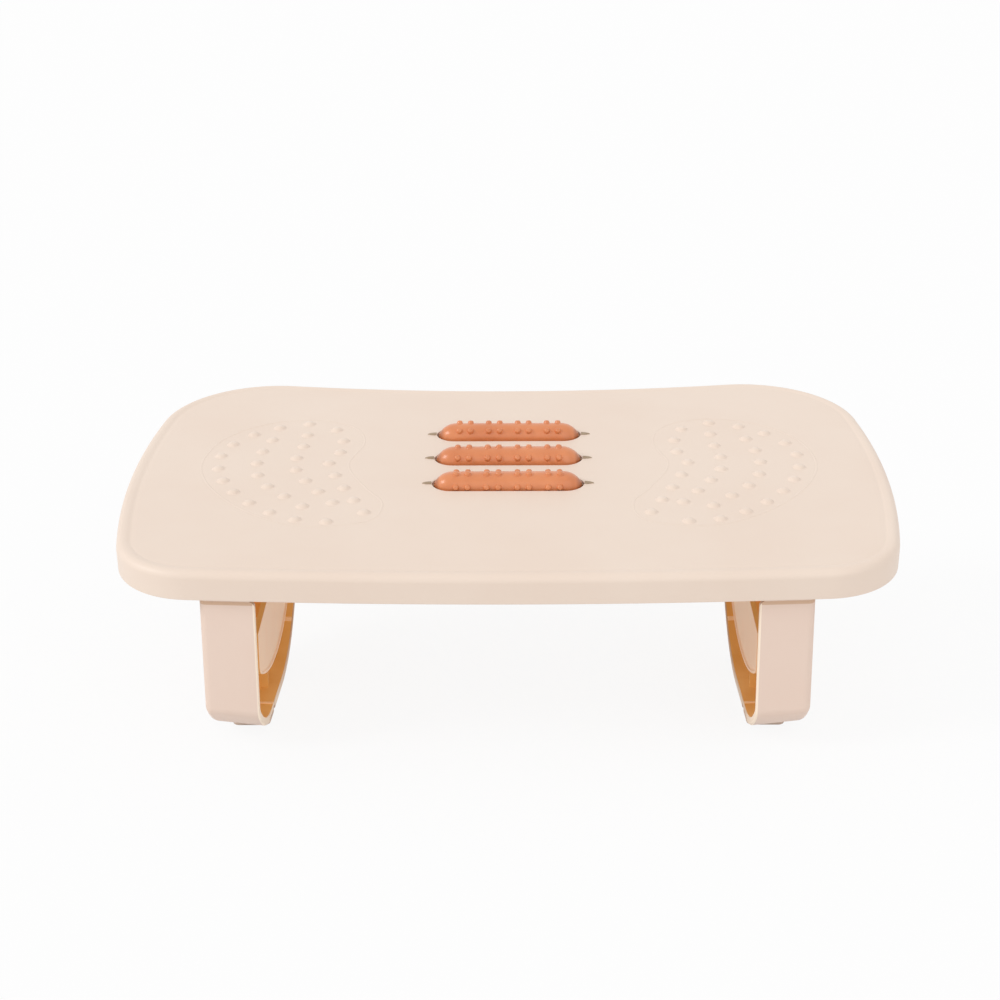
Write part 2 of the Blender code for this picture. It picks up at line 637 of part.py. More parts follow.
def make_tray(parent, material):
    """A shallow box under the rollers, whose end rails carry a tongue under each pin."""
    work = bmesh.new()
    add_box(work, (-TRAY_OUTER_X, TRAY_FRONT, TRAY_BOTTOM), (TRAY_OUTER_X, TRAY_BACK, TRAY_TOP))
    tray = add_piece("roller_tray", work, material, parent, DECK)

    hollow = bmesh.new()
    low = (-TRAY_INNER_X, TRAY_FRONT + TRAY_WALL, TRAY_FLOOR_TOP)
    add_box(hollow, low, (TRAY_INNER_X, TRAY_BACK - TRAY_WALL, 0))
    join_or_cut(tray, "hollow", hollow, "DIFFERENCE", DECK)

    ears = bmesh.new()
    for x, v in TRAY_SCREWS:
        inner = math.copysign(TRAY_OUTER_X - TRAY_RAIL / 2, x)
        outer = math.copysign(TRAY_OUTER_X + TRAY_EAR, x)
        low = (min(inner, outer), v - TRAY_EAR_WIDTH / 2, EAR_TOP - TRAY_EAR_THICKNESS)
        add_box(ears, low, (max(inner, outer), v + TRAY_EAR_WIDTH / 2, EAR_TOP))
    join_or_cut(tray, "ears", ears, "UNION", DECK)

    tongues = bmesh.new()
    tongue_half = PIN_DIAMETER / 2 - SEAT_GAP / 3
    tongue_top = -ROLLER_SINK - PIN_DIAMETER / 2 - SEAT_GAP / 3
    for v in ROLLERS_AT.values():
        for side in (-1, 1):
            ends = sorted((side * (TRAY_INNER_X + SEAT_GAP), side * (PIN_HALF_LENGTH - SEAT_GAP)))
            low = (ends[0], v - tongue_half, TRAY_TOP - TRAY_WALL)
            add_box(tongues, low, (ends[1], v + tongue_half, tongue_top))
    join_or_cut(tray, "tongues", tongues, "UNION", DECK)

    holes = bmesh.new()
    ends = (EAR_TOP - 2 * TRAY_EAR_THICKNESS, 0)
    for x, v in TRAY_SCREWS:
        place = Matrix.Translation((x, v, 0))
        add_turned(holes, [(SCREW_HOLE, end) for end in ends], place, SCREW_STEPS)
    join_or_cut(tray, "holes", holes, "DIFFERENCE", DECK)


def add_screw(work, place, head_height):
    """A pan-head screw whose head sits on the plane z = 0 of its place and whose shank runs up +Z."""
    head = SCREW_HEAD / 2
    shank = SCREW_SHANK / 2
    profile = ((SCREW_HEAD_TOP / 2, -head_height), (head, -head_height / 2), (head, 0))
    profile += ((shank, 0), (shank, SCREW_LENGTH))
    add_turned(work, profile, place, SCREW_STEPS)


def make_deck_screws(name, spots, seat_h, parent, material):
    for number, (x, v) in enumerate(spots, 1):
        work = bmesh.new()
        add_screw(work, Matrix.Translation((x, v, seat_h - SEAT_GAP)), SCREW_HEAD_HEIGHT)
        add_piece(f"{name}_{number}", work, material, parent, DECK)


def rounded_corner(edge, middle, bottom, radius, corner, way):
    """Centre and last angle of the small corner between an upright edge and a long arc over the floor."""
    y = edge + way * corner
    drop = math.sqrt((radius - corner) ** 2 - (y - middle) ** 2)
    return (y, bottom + radius - drop), math.atan2(-drop, y - middle) + 2 * math.pi


def u_outline(shape, inset, top_h):
    """(y, z) points of a U: down the front, round the bottom, up the rear, closed along the deck's slope."""
    front = shape["front"] + inset
    rear = shape["rear"] - inset
    bottom = shape["bottom"] + inset
    front_radius = shape["front_radius"] - inset
    rear_radius = shape["rear_radius"] - inset
    front_corner = shape["front_corner"] - inset
    rear_corner = shape["rear_corner"] - inset
    toe = (shape["toe"], bottom + front_radius)
    heel = (shape["heel"], bottom + rear_radius)
    front_centre, front_turn = rounded_corner(front, toe[0], bottom, front_radius, front_corner, 1)
    rear_centre, rear_turn = rounded_corner(rear, heel[0], bottom, rear_radius, rear_corner, -1)
    points = [(front, above_floor(front, top_h))]
    points += bend(front_centre, front_corner, math.pi, front_turn, SMALL_CORNER_STEPS)
    points += bend(toe, front_radius, front_turn, 1.5 * math.pi, TOE_STEPS)[1:]
    points += bend(heel, rear_radius, 1.5 * math.pi, rear_turn, TOE_STEPS)
    points += bend(rear_centre, rear_corner, rear_turn, 2 * math.pi, SMALL_CORNER_STEPS)[1:]
    points.append((rear, above_floor(rear, top_h)))
    return points


def leg_ring(side, x, inset, top_h):
    return [(side * x, y, z) for y, z in u_outline(LEG_SHAPE, inset, top_h)]


def leg_draft(x):
    return (x - LEG_INNER_AT) * math.tan(LEG_DRAFT)


def add_slope_prism(work, side, outline, low_v, high_v):
    """A body of constant (x, h) section along the slope, mirrored for the left side."""
    rings = [[(side * x, v, h) for x, h in outline] for v in (low_v, high_v)]
    add_loft(work, rings)


def make_leg(side, name, parent, material):
    """A tray lying on its side: the web outside, a band round it, open towards the middle and at the top."""
    web_top = -PLATE - SEAT_GAP
    rings = []
    for step in range(RIM_STEPS + 1):
        angle = math.pi / 2 * step / RIM_STEPS
        x = LEG_OUTER_AT - LEG_EDGE_RADIUS * (1 - math.cos(angle))
        inset = leg_draft(x) + LEG_EDGE_RADIUS * (1 - math.sin(angle))
        rings.append(leg_ring(side, x, inset, web_top))
    rings.append(leg_ring(side, LEG_INNER_AT, 0, web_top))
    rings.append(leg_ring(side, LEG_INNER_AT, LEG_WALL, web_top - LEG_WALL))
    rings.append(leg_ring(side, WEB_FACE_X, LEG_WALL + leg_draft(WEB_FACE_X), web_top - LEG_WALL))
    work = bmesh.new()
    add_loft(work, rings)
    leg = add_piece(name, work, material, parent, FLOOR)

    wall_top = -SKIRT_DEPTH - LEG_TOP_GAP
    centre = (LEG_INNER_AT + LEG_TOP_ROUND, wall_top - LEG_TOP_ROUND)
    rounding = bend(centre, LEG_TOP_ROUND, math.pi / 2, math.pi, SMALL_CORNER_STEPS)
    opening = bmesh.new()
    outline = [(LEG_INNER_AT - LEG_WIDTH, PLATE), (WEB_FACE_X, PLATE), (WEB_FACE_X, wall_top)]
    outline += rounding + [(LEG_INNER_AT - LEG_WIDTH, wall_top - LEG_TOP_ROUND)]
    add_slope_prism(opening, side, outline, -DECK_DEPTH, 2 * DECK_DEPTH)
    join_or_cut(leg, "top_opening", opening, "DIFFERENCE", DECK)

    lugs = bmesh.new()
    arc = bend((HINGE_X, -HINGE_DROP), KNUCKLE_RADIUS, 1.5 * math.pi, 0.5 * math.pi, CORNER_STEPS)
    web_x = WEB_FACE_X + LEG_WALL / 2
    outline = [(web_x, -HINGE_DROP + KNUCKLE_RADIUS), (web_x, -HINGE_DROP - LEG_WIDTH + KNUCKLE_RADIUS)] + arc
    for low_v in (FRONT_LUG_AT, REAR_LUG_END - KNUCKLE_THICKNESS):
        add_slope_prism(lugs, side, outline, low_v, low_v + KNUCKLE_THICKNESS)
    join_or_cut(leg, "lugs", lugs, "UNION", DECK)

    posts = bmesh.new()
    post_holes = bmesh.new()
    outward = (side, 0, 0)
    for y, z in COVER_SCREWS:
        place = along(0, y, z, outward)
        start = COVER_BACK_X + SEAT_GAP
        add_turned(posts, ((POST_DIAMETER / 2, start), (POST_DIAMETER / 2, web_x)), place)
        add_turned(post_holes, ((SCREW_HOLE, start - LEG_WALL), (SCREW_HOLE, WEB_FACE_X)), place, SCREW_STEPS)
    join_or_cut(leg, "posts", posts, "UNION", FLOOR)

    rib = bmesh.new()
    y = LEG_SHAPE["toe"] + (LEG_SHAPE["heel"] - LEG_SHAPE["toe"]) * LEG_RIB_PLACE
    low_x, high_x = sorted((side * (COVER_BACK_X + SEAT_GAP), side * web_x))
    low = (low_x, y - LEG_RIB_WALL / 2, FOOT_STAND + LEG_WALL / 2)
    add_box(rib, low, (high_x, y + LEG_RIB_WALL / 2, COVER_BOTTOM + LEG_RIB_RISE))
    join_or_cut(leg, "rib", rib, "UNION", FLOOR)

    heel = bmesh.new()
    reach = FOOT_LENGTH / 2 + SEAT_GAP + HEEL_MARGIN
    ends = [FOOT_CENTRES["rear"] - reach, FOOT_CENTRES["rear"] + reach]
    radius = LEG_REAR_RADIUS - LEG_WALL / 2
    turns = [1.5 * math.pi + math.asin((y - LEG_SHAPE["heel"]) / radius) for y in ends]
    centre = (LEG_SHAPE["heel"], FOOT_STAND + LEG_REAR_RADIUS)
    outline = [(ends[0], FOOT_STAND), (ends[1], FOOT_STAND)] + bend(centre, radius, turns[1], turns[0], HEEL_STEPS)
    heel_xs = (LEG_INNER_AT + HEEL_INSET, LEG_OUTER_AT - LEG_EDGE_RADIUS)
    add_loft(heel, [[(side * x, y, z) for y, z in outline] for x in heel_xs])
    join_or_cut(leg, "heel", heel, "UNION", FLOOR)
    join_or_cut(leg, "post_holes", post_holes, "DIFFERENCE", FLOOR)

    bores = bmesh.new()
    radius = (HINGE_PIN_DIAMETER / 2 + RUNNING_GAP) / math.cos(math.pi / ROUND_STEPS)
    place = along(side * HINGE_X, 0, -HINGE_DROP, (0, 1, 0))
    for low_v in (FRONT_LUG_AT, REAR_LUG_END - KNUCKLE_THICKNESS):
        ends = (low_v - SEAT_GAP, low_v + KNUCKLE_THICKNESS + SEAT_GAP)
        add_turned(bores, ((radius, ends[0]), (radius, ends[1])), place)
    join_or_cut(leg, "bores", bores, "DIFFERENCE", DECK)

    recesses = bmesh.new()
    for end, y in FOOT_CENTRES.items():
        outer = FOOT_INNER_X[end] + FOOT_WIDTH + SEAT_GAP
        low_x, high_x = sorted((side * (LEG_INNER_AT - LEG_WALL), side * outer))
        half = FOOT_LENGTH / 2 + SEAT_GAP
        add_box(recesses, (low_x, y - half, -LEG_WALL), (high_x, y + half, FOOT_STAND + FOOT_RECESS))
    join_or_cut(leg, "foot_recesses", recesses, "DIFFERENCE", FLOOR)


def make_cover(side, name, parent, material):
    """The plate inside the leg, with a thin raised lip round its edge."""

    def ring(x, inset):
        return [(side * x, y, z) for y, z in u_outline(COVER_SHAPE, inset, -COVER_TOP_DROP - inset)]

    work = bmesh.new()
    lip_x = COVER_FACE_X - COVER_LIP_HEIGHT
    rings = [ring(COVER_BACK_X, 0), ring(lip_x, 0), ring(lip_x, COVER_LIP_WIDTH), ring(COVER_FACE_X, COVER_LIP_WIDTH)]
    add_loft(work, rings)
    cover = add_piece(name, work, material, parent, FLOOR)
    holes = bmesh.new()
    for y, z in COVER_SCREWS:
        place = along(0, y, z, (side, 0, 0))
        add_turned(holes, ((SCREW_HOLE, LEG_INNER_AT), (SCREW_HOLE, WEB_FACE_X)), place, SCREW_STEPS)
    join_or_cut(cover, "holes", holes, "DIFFERENCE", FLOOR)


def make_cover_screws(side, name, parent, material):
    for number, (y, z) in enumerate(COVER_SCREWS, 1):
        work = bmesh.new()
        place = along(side * (COVER_FACE_X - SEAT_GAP), y, z, (side, 0, 0))
        add_screw(work, place, COVER_SCREW_HEAD_HEIGHT)
        add_piece(f"{name}_{number}", work, material, parent, FLOOR)


def make_foot(side, name, end, parent, material):
    y = FOOT_CENTRES[end]
    half = FOOT_LENGTH / 2
    inner = FOOT_INNER_X[end] + SEAT_GAP
    outer = FOOT_INNER_X[end] + FOOT_WIDTH
    corners = ((outer, y + half), (inner, y + half), (inner, y - half), (outer, y - half))
    outline = []
    for quarter, (x, along_y) in enumerate(corners):
        centre_x = x + math.copysign(FOOT_CORNER, inner + outer - 2 * x)
        centre_y = along_y + math.copysign(FOOT_CORNER, y - along_y)
        start = quarter * math.pi / 2
        outline += bend((centre_x, centre_y), FOOT_CORNER, start, start + math.pi / 2, SMALL_CORNER_STEPS)
    work = bmesh.new()
    top = FOOT_STAND + FOOT_RECESS - SEAT_GAP
    add_loft(work, [[(side * x, along_y, z) for x, along_y in outline] for z in (0, top)])
    add_piece(name, work, material, parent, FLOOR)


def make_hinge_pin(side, name, parent, material):
    work = bmesh.new()
    head_end = FRONT_LUG_AT - SEAT_GAP
    tail = REAR_LUG_END + SEAT_GAP + CLIP_THICKNESS + PIN_TAIL
    head_start = head_end - HINGE_HEAD_THICKNESS
    head = HINGE_HEAD_DIAMETER / 2
    shank = HINGE_PIN_DIAMETER / 2
    profile = ((head - HINGE_HEAD_CHAMFER, head_start), (head, head_start + HINGE_HEAD_CHAMFER), (head, head_end))
    profile += ((shank, head_end), (shank, tail - HINGE_PIN_CHAMFER), (shank - HINGE_PIN_CHAMFER, tail))
    add_turned(work, profile, along(side * HINGE_X, 0, -HINGE_DROP, (0, 1, 0)))
    add_piece(name, work, material, parent, DECK)


def make_clip(side, name, parent, material):
    work = bmesh.new()
    start = REAR_LUG_END + SEAT_GAP
    outer = CLIP_DIAMETER / 2
    inner = (HINGE_PIN_DIAMETER / 2 + RUNNING_GAP) / math.cos(math.pi / ROUND_STEPS)
    ends = (start, start + CLIP_THICKNESS)
    place = along(side * HINGE_X, 0, -HINGE_DROP, (0, 1, 0))
    add_turned_ring(work, [(outer, end) for end in ends], [(inner, end) for end in ends], place, ROUND_STEPS)
    add_piece(name, work, material, parent, DECK)


def make_bracket(side, name, parent, material):
    """A rail on three bosses of the deck, with an ear hanging from each end of it."""
    work = bmesh.new()
    base_top = EAR_TOP
    base_low = EAR_TOP - BRACKET_THICKNESS
    low_x, high_x = sorted((side * (HINGE_X - BRACKET_INNER_FLANGE), side * (HINGE_X + BRACKET_OUTER_FLANGE)))
    add_box(work, (low_x, BRACKET_FRONT, base_low), (high_x, BRACKET_BACK, base_top))
    bracket = add_piece(name, work, material, parent, DECK)

    ears = bmesh.new()
    arc = bend((HINGE_X, -HINGE_DROP), KNUCKLE_RADIUS, math.pi, 2 * math.pi, CORNER_STEPS)
    rise = base_low + BRACKET_THICKNESS / 2
    outline = arc + [(HINGE_X + KNUCKLE_RADIUS, rise), (HINGE_X - KNUCKLE_RADIUS, rise)]
    for low_v in (BRACKET_FRONT, BRACKET_BACK - KNUCKLE_THICKNESS):
        add_slope_prism(ears, side, outline, low_v, low_v + KNUCKLE_THICKNESS)
    join_or_cut(bracket, "ears", ears, "UNION", DECK)

    holes = bmesh.new()
    for v in BRACKET_SCREW_VS:
        place = Matrix.Translation((side * BRACKET_SCREW_X, v, 0))
        add_turned(holes, ((SCREW_HOLE, base_low - BRACKET_THICKNESS), (SCREW_HOLE, 0)), place, SCREW_STEPS)
    join_or_cut(bracket, "screw_holes", holes, "DIFFERENCE", DECK)

    bores = bmesh.new()
    radius = (HINGE_PIN_DIAMETER / 2 + RUNNING_GAP) / math.cos(math.pi / ROUND_STEPS)
    place = along(side * HINGE_X, 0, -HINGE_DROP, (0, 1, 0))
    for low_v in (BRACKET_FRONT, BRACKET_BACK - KNUCKLE_THICKNESS):
        ends = (low_v - SEAT_GAP, low_v + KNUCKLE_THICKNESS + SEAT_GAP)
        add_turned(bores, ((radius, ends[0]), (radius, ends[1])), place)
    join_or_cut(bracket, "bores", bores, "DIFFERENCE", DECK)


def make_side(side, side_name, deck_frame, materials):
    """A bracket and the leg that folds on it."""
    make_bracket(side, f"leg_bracket_{side_name}", deck_frame, materials["inner"])
    spots = [(side * BRACKET_SCREW_X, v) for v in BRACKET_SCREW_VS]
    make_deck_screws(f"bracket_screw_{side_name}", spots, EAR_TOP - BRACKET_THICKNESS, deck_frame, materials["steel"])
    hinge = add_empty(f"{side_name}_hinge_axis", deck_frame, Matrix.Translation((side * HINGE_X, 0, -HINGE_DROP)))
    bpy.context.view_layer.update()
    make_leg(side, f"leg_{side_name}", hinge, materials["peach"])
    make_cover(side, f"leg_cover_{side_name}", hinge, materials["peach"])
    make_cover_screws(side, f"cover_screw_{side_name}", hinge, materials["steel"])
    make_hinge_pin(side, f"hinge_pin_{side_name}", hinge, materials["steel"])
    make_clip(side, f"hinge_clip_{side_name}", hinge, materials["steel"])
    for end in FOOT_CENTRES:
        make_foot(side, f"foot_{side_name}_{end}", end, hinge, materials["rubber"])


def make_footrest():
    clear_scene()
    materials = {
        "peach": plastic("peach_plastic", (0.84, 0.68, 0.56), 0.45),
        "terracotta": plastic("terracotta_plastic", (0.60, 0.22, 0.09), 0.30),
        "inner": plastic("white_inner_plastic", (0.80, 0.76, 0.72), 0.50),
        "rubber": plastic("pale_rubber", (0.78, 0.66, 0.56), 0.80),
        "steel": plastic("bright_steel", (0.62, 0.62, 0.63), 0.30, 1.0),
    }
    deck_frame = add_empty("deck_frame", None, DECK)
    bpy.context.view_layer.update()
    make_deck(deck_frame, materials["peach"])
    make_tray(deck_frame, materials["inner"])
    make_deck_screws("tray_screw", TRAY_SCREWS, EAR_TOP - TRAY_EAR_THICKNESS, deck_frame, materials["steel"])
    for place_name in ROLLERS_AT:
        make_roller(place_name, deck_frame, materials["terracotta"])
        make_roller_pin(place_name, deck_frame, materials["steel"])
    make_side(-1, "left", deck_frame, materials)
    make_side(1, "right", deck_frame, materials)


make_footrest()
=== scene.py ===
import math

import bmesh
import bpy
from mathutils import Matrix, Vector


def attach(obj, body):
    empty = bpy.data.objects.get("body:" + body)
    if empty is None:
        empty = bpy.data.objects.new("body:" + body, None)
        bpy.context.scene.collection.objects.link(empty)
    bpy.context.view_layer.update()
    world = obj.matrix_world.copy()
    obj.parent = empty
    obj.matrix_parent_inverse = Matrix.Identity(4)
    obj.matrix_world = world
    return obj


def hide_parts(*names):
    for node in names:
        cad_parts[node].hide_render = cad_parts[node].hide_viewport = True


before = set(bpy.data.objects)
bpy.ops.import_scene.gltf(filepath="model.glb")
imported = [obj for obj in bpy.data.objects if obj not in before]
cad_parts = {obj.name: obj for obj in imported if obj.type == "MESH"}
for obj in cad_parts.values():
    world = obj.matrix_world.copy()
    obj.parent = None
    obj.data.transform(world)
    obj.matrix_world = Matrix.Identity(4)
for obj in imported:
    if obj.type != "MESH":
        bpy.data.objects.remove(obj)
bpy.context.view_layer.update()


# Deck. One shell of satin peach polypropylene, injection moulded: a flat top inside a low lip, a rounded rim
# and a skirt. It is drawn in its own frame: x across, v up the slope from the front edge, h off the top.
MM = 0.001
SIDES = ((-1, "left"), (1, "right"))
SLOPE_ANGLE = math.radians(8)
FRONT_EDGE = (0, -114.864 * MM, 88.461 * MM)
SLOPE = Matrix.Translation(FRONT_EDGE) @ Matrix.Rotation(SLOPE_ANGLE, 4, "X")
DECK_WIDTH = 375 * MM
DECK_DEPTH = 230 * MM
SIDE_RADIUS = 463 * MM
WIDEST_AT = 119.5 * MM
FRONT_RADIUS = 2200 * MM
FRONT_CORNER = 39 * MM
BACK_CORNER = 56.5 * MM
BACK_DIP = 9.2 * MM
TOP = -0.3 * MM
PLATE_UNDER = -2.5 * MM
SKIRT_WALL = 2.5 * MM
SKIRT_DEPTH = 14 * MM
RIM_RADIUS = 3.6 * MM
BELOW_RIM = 4 * MM
EDGE = 0.5 * MM
GAP = 0.3 * MM
CREASE = math.radians(32)


def bend(centre, radius, start, end, steps):
    points = []
    for step in range(steps + 1):
        angle = start + (end - start) * step / steps
        points.append((centre[0] + radius * math.cos(angle), centre[1] + radius * math.sin(angle)))
    return points


def loft(work, rings, finish=0, last_finish=None):
    """A closed body through rings of as many points each; finishes are material places on the piece."""
    rows = [[work.verts.new(point) for point in ring] for ring in rings]
    count = len(rows[0])
    for low, high in zip(rows, rows[1:]):
        for index in range(count):
            after = (index + 1) % count
            work.faces.new((low[index], low[after], high[after], high[index])).material_index = finish
    work.faces.new(list(reversed(rows[0]))).material_index = finish
    work.faces.new(rows[-1]).material_index = finish if last_finish is None else last_finish
    return rows


def circle(radius, steps):
    start = math.pi / steps
    return bend((0, 0), radius, start, start + 2 * math.pi * (steps - 1) / steps, steps - 1)


def turned(work, profile, place, steps, finish=0):
    """A body turned about the Z of its place from (radius, height) points."""
    rings = [[place @ Vector((x, y, height)) for x, y in circle(radius, steps)] for radius, height in profile]
    loft(work, rings, finish)


def box(work, low, high, finish=0):
    corners = ((low[0], low[1]), (high[0], low[1]), (high[0], high[1]), (low[0], high[1]))
    loft(work, [[(x, y, height) for x, y in corners] for height in (low[2], high[2])], finish)


def solid(name, work, place):
    """An object at the origin whose mesh stands where its place puts it."""
    bmesh.ops.remove_doubles(work, verts=work.verts, dist=0.005 * MM)
    bmesh.ops.recalc_face_normals(work, faces=work.faces)
    bmesh.ops.transform(work, matrix=place, verts=work.verts)
    mesh = bpy.data.meshes.new(name)
    work.to_mesh(mesh)
    work.free()
    item = bpy.data.objects.new(name, mesh)
    bpy.context.collection.objects.link(item)
    return item


def apply_modifiers(item):
    graph = bpy.context.evaluated_depsgraph_get()
    mesh = bpy.data.meshes.new_from_object(item.evaluated_get(graph))
    item.modifiers.clear()
    item.data = mesh


def combine(item, work, place, operation):
    """Joins a shape to an object, or cuts it out."""
    tool = solid(f"{item.name}_tool", work, place)
    step = item.modifiers.new("combine", "BOOLEAN")
    step.operation = operation
    step.object = tool
    step.solver = "EXACT"
    apply_modifiers(item)
    bpy.data.objects.remove(tool)


def finish(item, body, slot, *nodes):
    """Smooth shading up to the sharp edges, and the piece's place in the model."""
    item.data.shade_smooth()
    item.data.set_sharp_from_angle(angle=CREASE)
    even = item.modifiers.new("even_shading", "WEIGHTED_NORMAL")
    even.keep_sharp = True
    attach(item, body)
    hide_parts(*nodes)


def front_corner_centre():
    across = DECK_WIDTH / 2 - SIDE_RADIUS
    away = WIDEST_AT - FRONT_RADIUS
    span = math.hypot(across, away)
    from_front = FRONT_RADIUS - FRONT_CORNER
    from_side = SIDE_RADIUS - FRONT_CORNER
    reach = (from_front**2 - from_side**2 + span**2) / (2 * span)
    rise = math.sqrt(from_front**2 - reach**2)
    return (across * reach - away * rise) / span, FRONT_RADIUS + (away * reach + across * rise) / span


def deck_outline(inset=0.0):
    side_x = DECK_WIDTH / 2 - SIDE_RADIUS
    front_x, front_v = front_corner_centre()
    back_v = DECK_DEPTH - BACK_CORNER
    back_x = side_x + math.sqrt((SIDE_RADIUS - BACK_CORNER) ** 2 - (back_v - WIDEST_AT) ** 2)
    dip_reach = (back_x**2 + BACK_DIP**2) / (2 * BACK_DIP)
    dip_v = back_v + dip_reach - BACK_DIP
    edge_turn = math.atan2(front_v - FRONT_RADIUS, front_x)
    front_turn = math.atan2(front_v - WIDEST_AT, front_x - side_x)
    back_turn = math.atan2(back_v - WIDEST_AT, back_x - side_x)
    dip_turn = math.atan2(dip_v - back_v, -back_x)
    right = bend((0, FRONT_RADIUS), FRONT_RADIUS - inset, -math.pi / 2, edge_turn, 10)
    right += bend((front_x, front_v), FRONT_CORNER - inset, edge_turn, front_turn, 20)[1:]
    right += bend((side_x, WIDEST_AT), SIDE_RADIUS - inset, front_turn, back_turn, 20)[1:]
    right += bend((back_x, back_v), BACK_CORNER - inset, back_turn, dip_turn, 28)[1:]
    right += bend((0, dip_v), dip_reach - BACK_CORNER + inset, dip_turn - math.pi, -math.pi / 2, 18)[1:]
    return right + [(-x, v) for x, v in reversed(right[1:-1])]


def quarter(radius, steps):
    """(inset, drop) of a rounded edge, from its flat side round to its upright side."""
    angles = (math.pi / 2 * step / steps for step in range(steps + 1))
    return [(radius * (1 - math.sin(angle)), radius * (1 - math.cos(angle))) for angle in angles]


LIP = ((9.0, -0.3), (7.8, -0.38), (7.0, -0.46), (6.4, -0.42), (5.8, -0.29), (5.1, -0.1), (4.4, -0.01))
deck_profile = [(inset * MM, h * MM) for inset, h in LIP]
deck_profile += [(inset, -drop) for inset, drop in quarter(RIM_RADIUS, 10)]
deck_profile += [(0, -RIM_RADIUS - BELOW_RIM)]
deck_profile += [(inset, drop - SKIRT_DEPTH) for inset, drop in reversed(quarter(EDGE, 4))]
deck_profile += [(SKIRT_WALL - inset, drop - SKIRT_DEPTH) for inset, drop in quarter(EDGE, 4)]
deck_profile += [(SKIRT_WALL + inset, PLATE_UNDER - drop) for inset, drop in reversed(quarter(EDGE, 4))]
work = bmesh.new()
loft(work, [[(x, v, h) for x, v in deck_outline(inset)] for inset, h in deck_profile])
deck = solid("deck_shell", work, SLOPE)

# The two fields of massage bumps, moulded with the top. Each stands in a thin raised line, and each row of
# bumps follows a curve. All are drawn for the right side and mirrored.
BUMP = (
    (3.9, -0.9), (3.6, -0.03), (3.3, 0.06), (2.9, 0.32), (2.45, 0.74),
    (2.0, 1.08), (1.4, 1.33), (0.7, 1.46), (0.1, 1.48),
)
BUMP_ROWS = (
    (11, ((120, 168), (181, 135), (119, 51), (85, 56))),
    (7, ((122, 152), (136, 102), (112, 91), (98, 73))),
    (8, ((105, 173), (101, 112), (122, 135), (84, 77))),
    (8, ((90, 165), (67, 105), (117, 174), (68, 66))),
)
FIELD_EDGE = (
    (74, 149), (80, 121), (70, 95), (60, 76), (66, 57), (94, 52), (114, 60),
    (133, 77), (148, 100), (154, 124), (148, 152), (130, 172), (104, 179), (82, 170),
)
FIELD_LINE = (
    (-0.75, -0.9), (0.75, -0.9), (0.75, -0.03), (0.4, 0.16), (0, 0.24), (-0.4, 0.16), (-0.75, -0.03),
)


def curve_row(count, corners):
    """Evenly spaced points along a cubic curve given by its four corner points."""
    steps = 200
    fine = []
    for step in range(steps + 1):
        t = step / steps
        weights = ((1 - t) ** 3, 3 * (1 - t) ** 2 * t, 3 * (1 - t) * t**2, t**3)
        fine.append(tuple(MM * sum(w * c[axis] for w, c in zip(weights, corners)) for axis in (0, 1)))
    lengths = [0.0]
    for start, end in zip(fine, fine[1:]):
        lengths.append(lengths[-1] + math.dist(start, end))
    row = []
    for place in range(count):
        target = lengths[-1] * place / (count - 1)
        row.append(fine[min(range(steps + 1), key=lambda index: abs(lengths[index] - target))])
    return row


def smooth_loop(corners, steps):
    """A closed curve through its corner points."""
    points = []
    count = len(corners)
    for index in range(count):
        a, b, c, d = (Vector(corners[(index + shift) % count]) for shift in (-1, 0, 1, 2))
        for step in range(steps):
            t = step / steps
            straight = 2 * b + (c - a) * t
            bent = straight + (2 * a - 5 * b + 4 * c - d) * t**2 + (3 * b - a - 3 * c + d) * t**3
            points.append(0.5 * bent * MM)
    return points


bumps = bmesh.new()
for count, corners in BUMP_ROWS:
    for x, v in curve_row(count, corners):
        for side in (-1, 1):
            turned(bumps, [(r * MM, h * MM) for r, h in BUMP], Matrix.Translation((side * x, v, TOP)), 20)
combine(deck, bumps, SLOPE, "UNION")

edges = bmesh.new()
loop = smooth_loop(FIELD_EDGE, 6)
for side in (-1, 1):
    rows = []
    for index, point in enumerate(loop):
        ahead = loop[(index + 1) % len(loop)] - loop[index - 1]
        across = Vector((ahead.y, -ahead.x)).normalized()
        rows.append([])
        for out, up in FIELD_LINE:
            spot = point + across * out * MM
            rows[-1].append(edges.verts.new((side * spot.x, spot.y, TOP + up * MM)))
    for near, far in zip(rows, rows[1:] + rows[:1]):
        for index in range(len(FIELD_LINE)):
            after = (index + 1) % len(FIELD_LINE)
            edges.faces.new((near[index], near[after], far[after], far[index]))
combine(deck, edges, SLOPE, "UNION")

# Roller slots, pointed at both ends with softened edges. A groove below each end takes the axle, under a
# slender bead that keeps the top closed over it.
ROLLERS_AT = {"front": 98.7 * MM, "middle": 128.9 * MM, "back": 159.1 * MM}
ROLLER_LENGTH = 73.4 * MM
ROLLER_RADIUS = 6.95 * MM
ROLLER_SINK = 1.5 * MM
STUD_HEIGHT = 1.4 * MM
STUD_REACH = ROLLER_RADIUS + STUD_HEIGHT
TAPER = 9.5 * MM
SLOT_HALF_WIDTH = STUD_REACH + GAP
SLOT_HALF_LENGTH = ROLLER_LENGTH / 2 + 2 * GAP
SLOT_EDGE = (
    (2 * PLATE_UNDER, 0), (TOP - 0.45 * MM, 0), (TOP - 0.15 * MM, 0.09 * MM),
    (TOP, 0.35 * MM), (3 * MM, 0.35 * MM),
)
PIN_RADIUS = 0.8 * MM
PIN_END = SLOT_HALF_LENGTH + 4.3 * MM
PIN_SIDE_GAP = 0.15 * MM
PIN_TOP_GAP = 0.08 * MM
BEAD_REACH = 4.9 * MM
BEAD_HALF_WIDTH = 1.1 * MM
BEAD_HEIGHT = 0.8 * MM


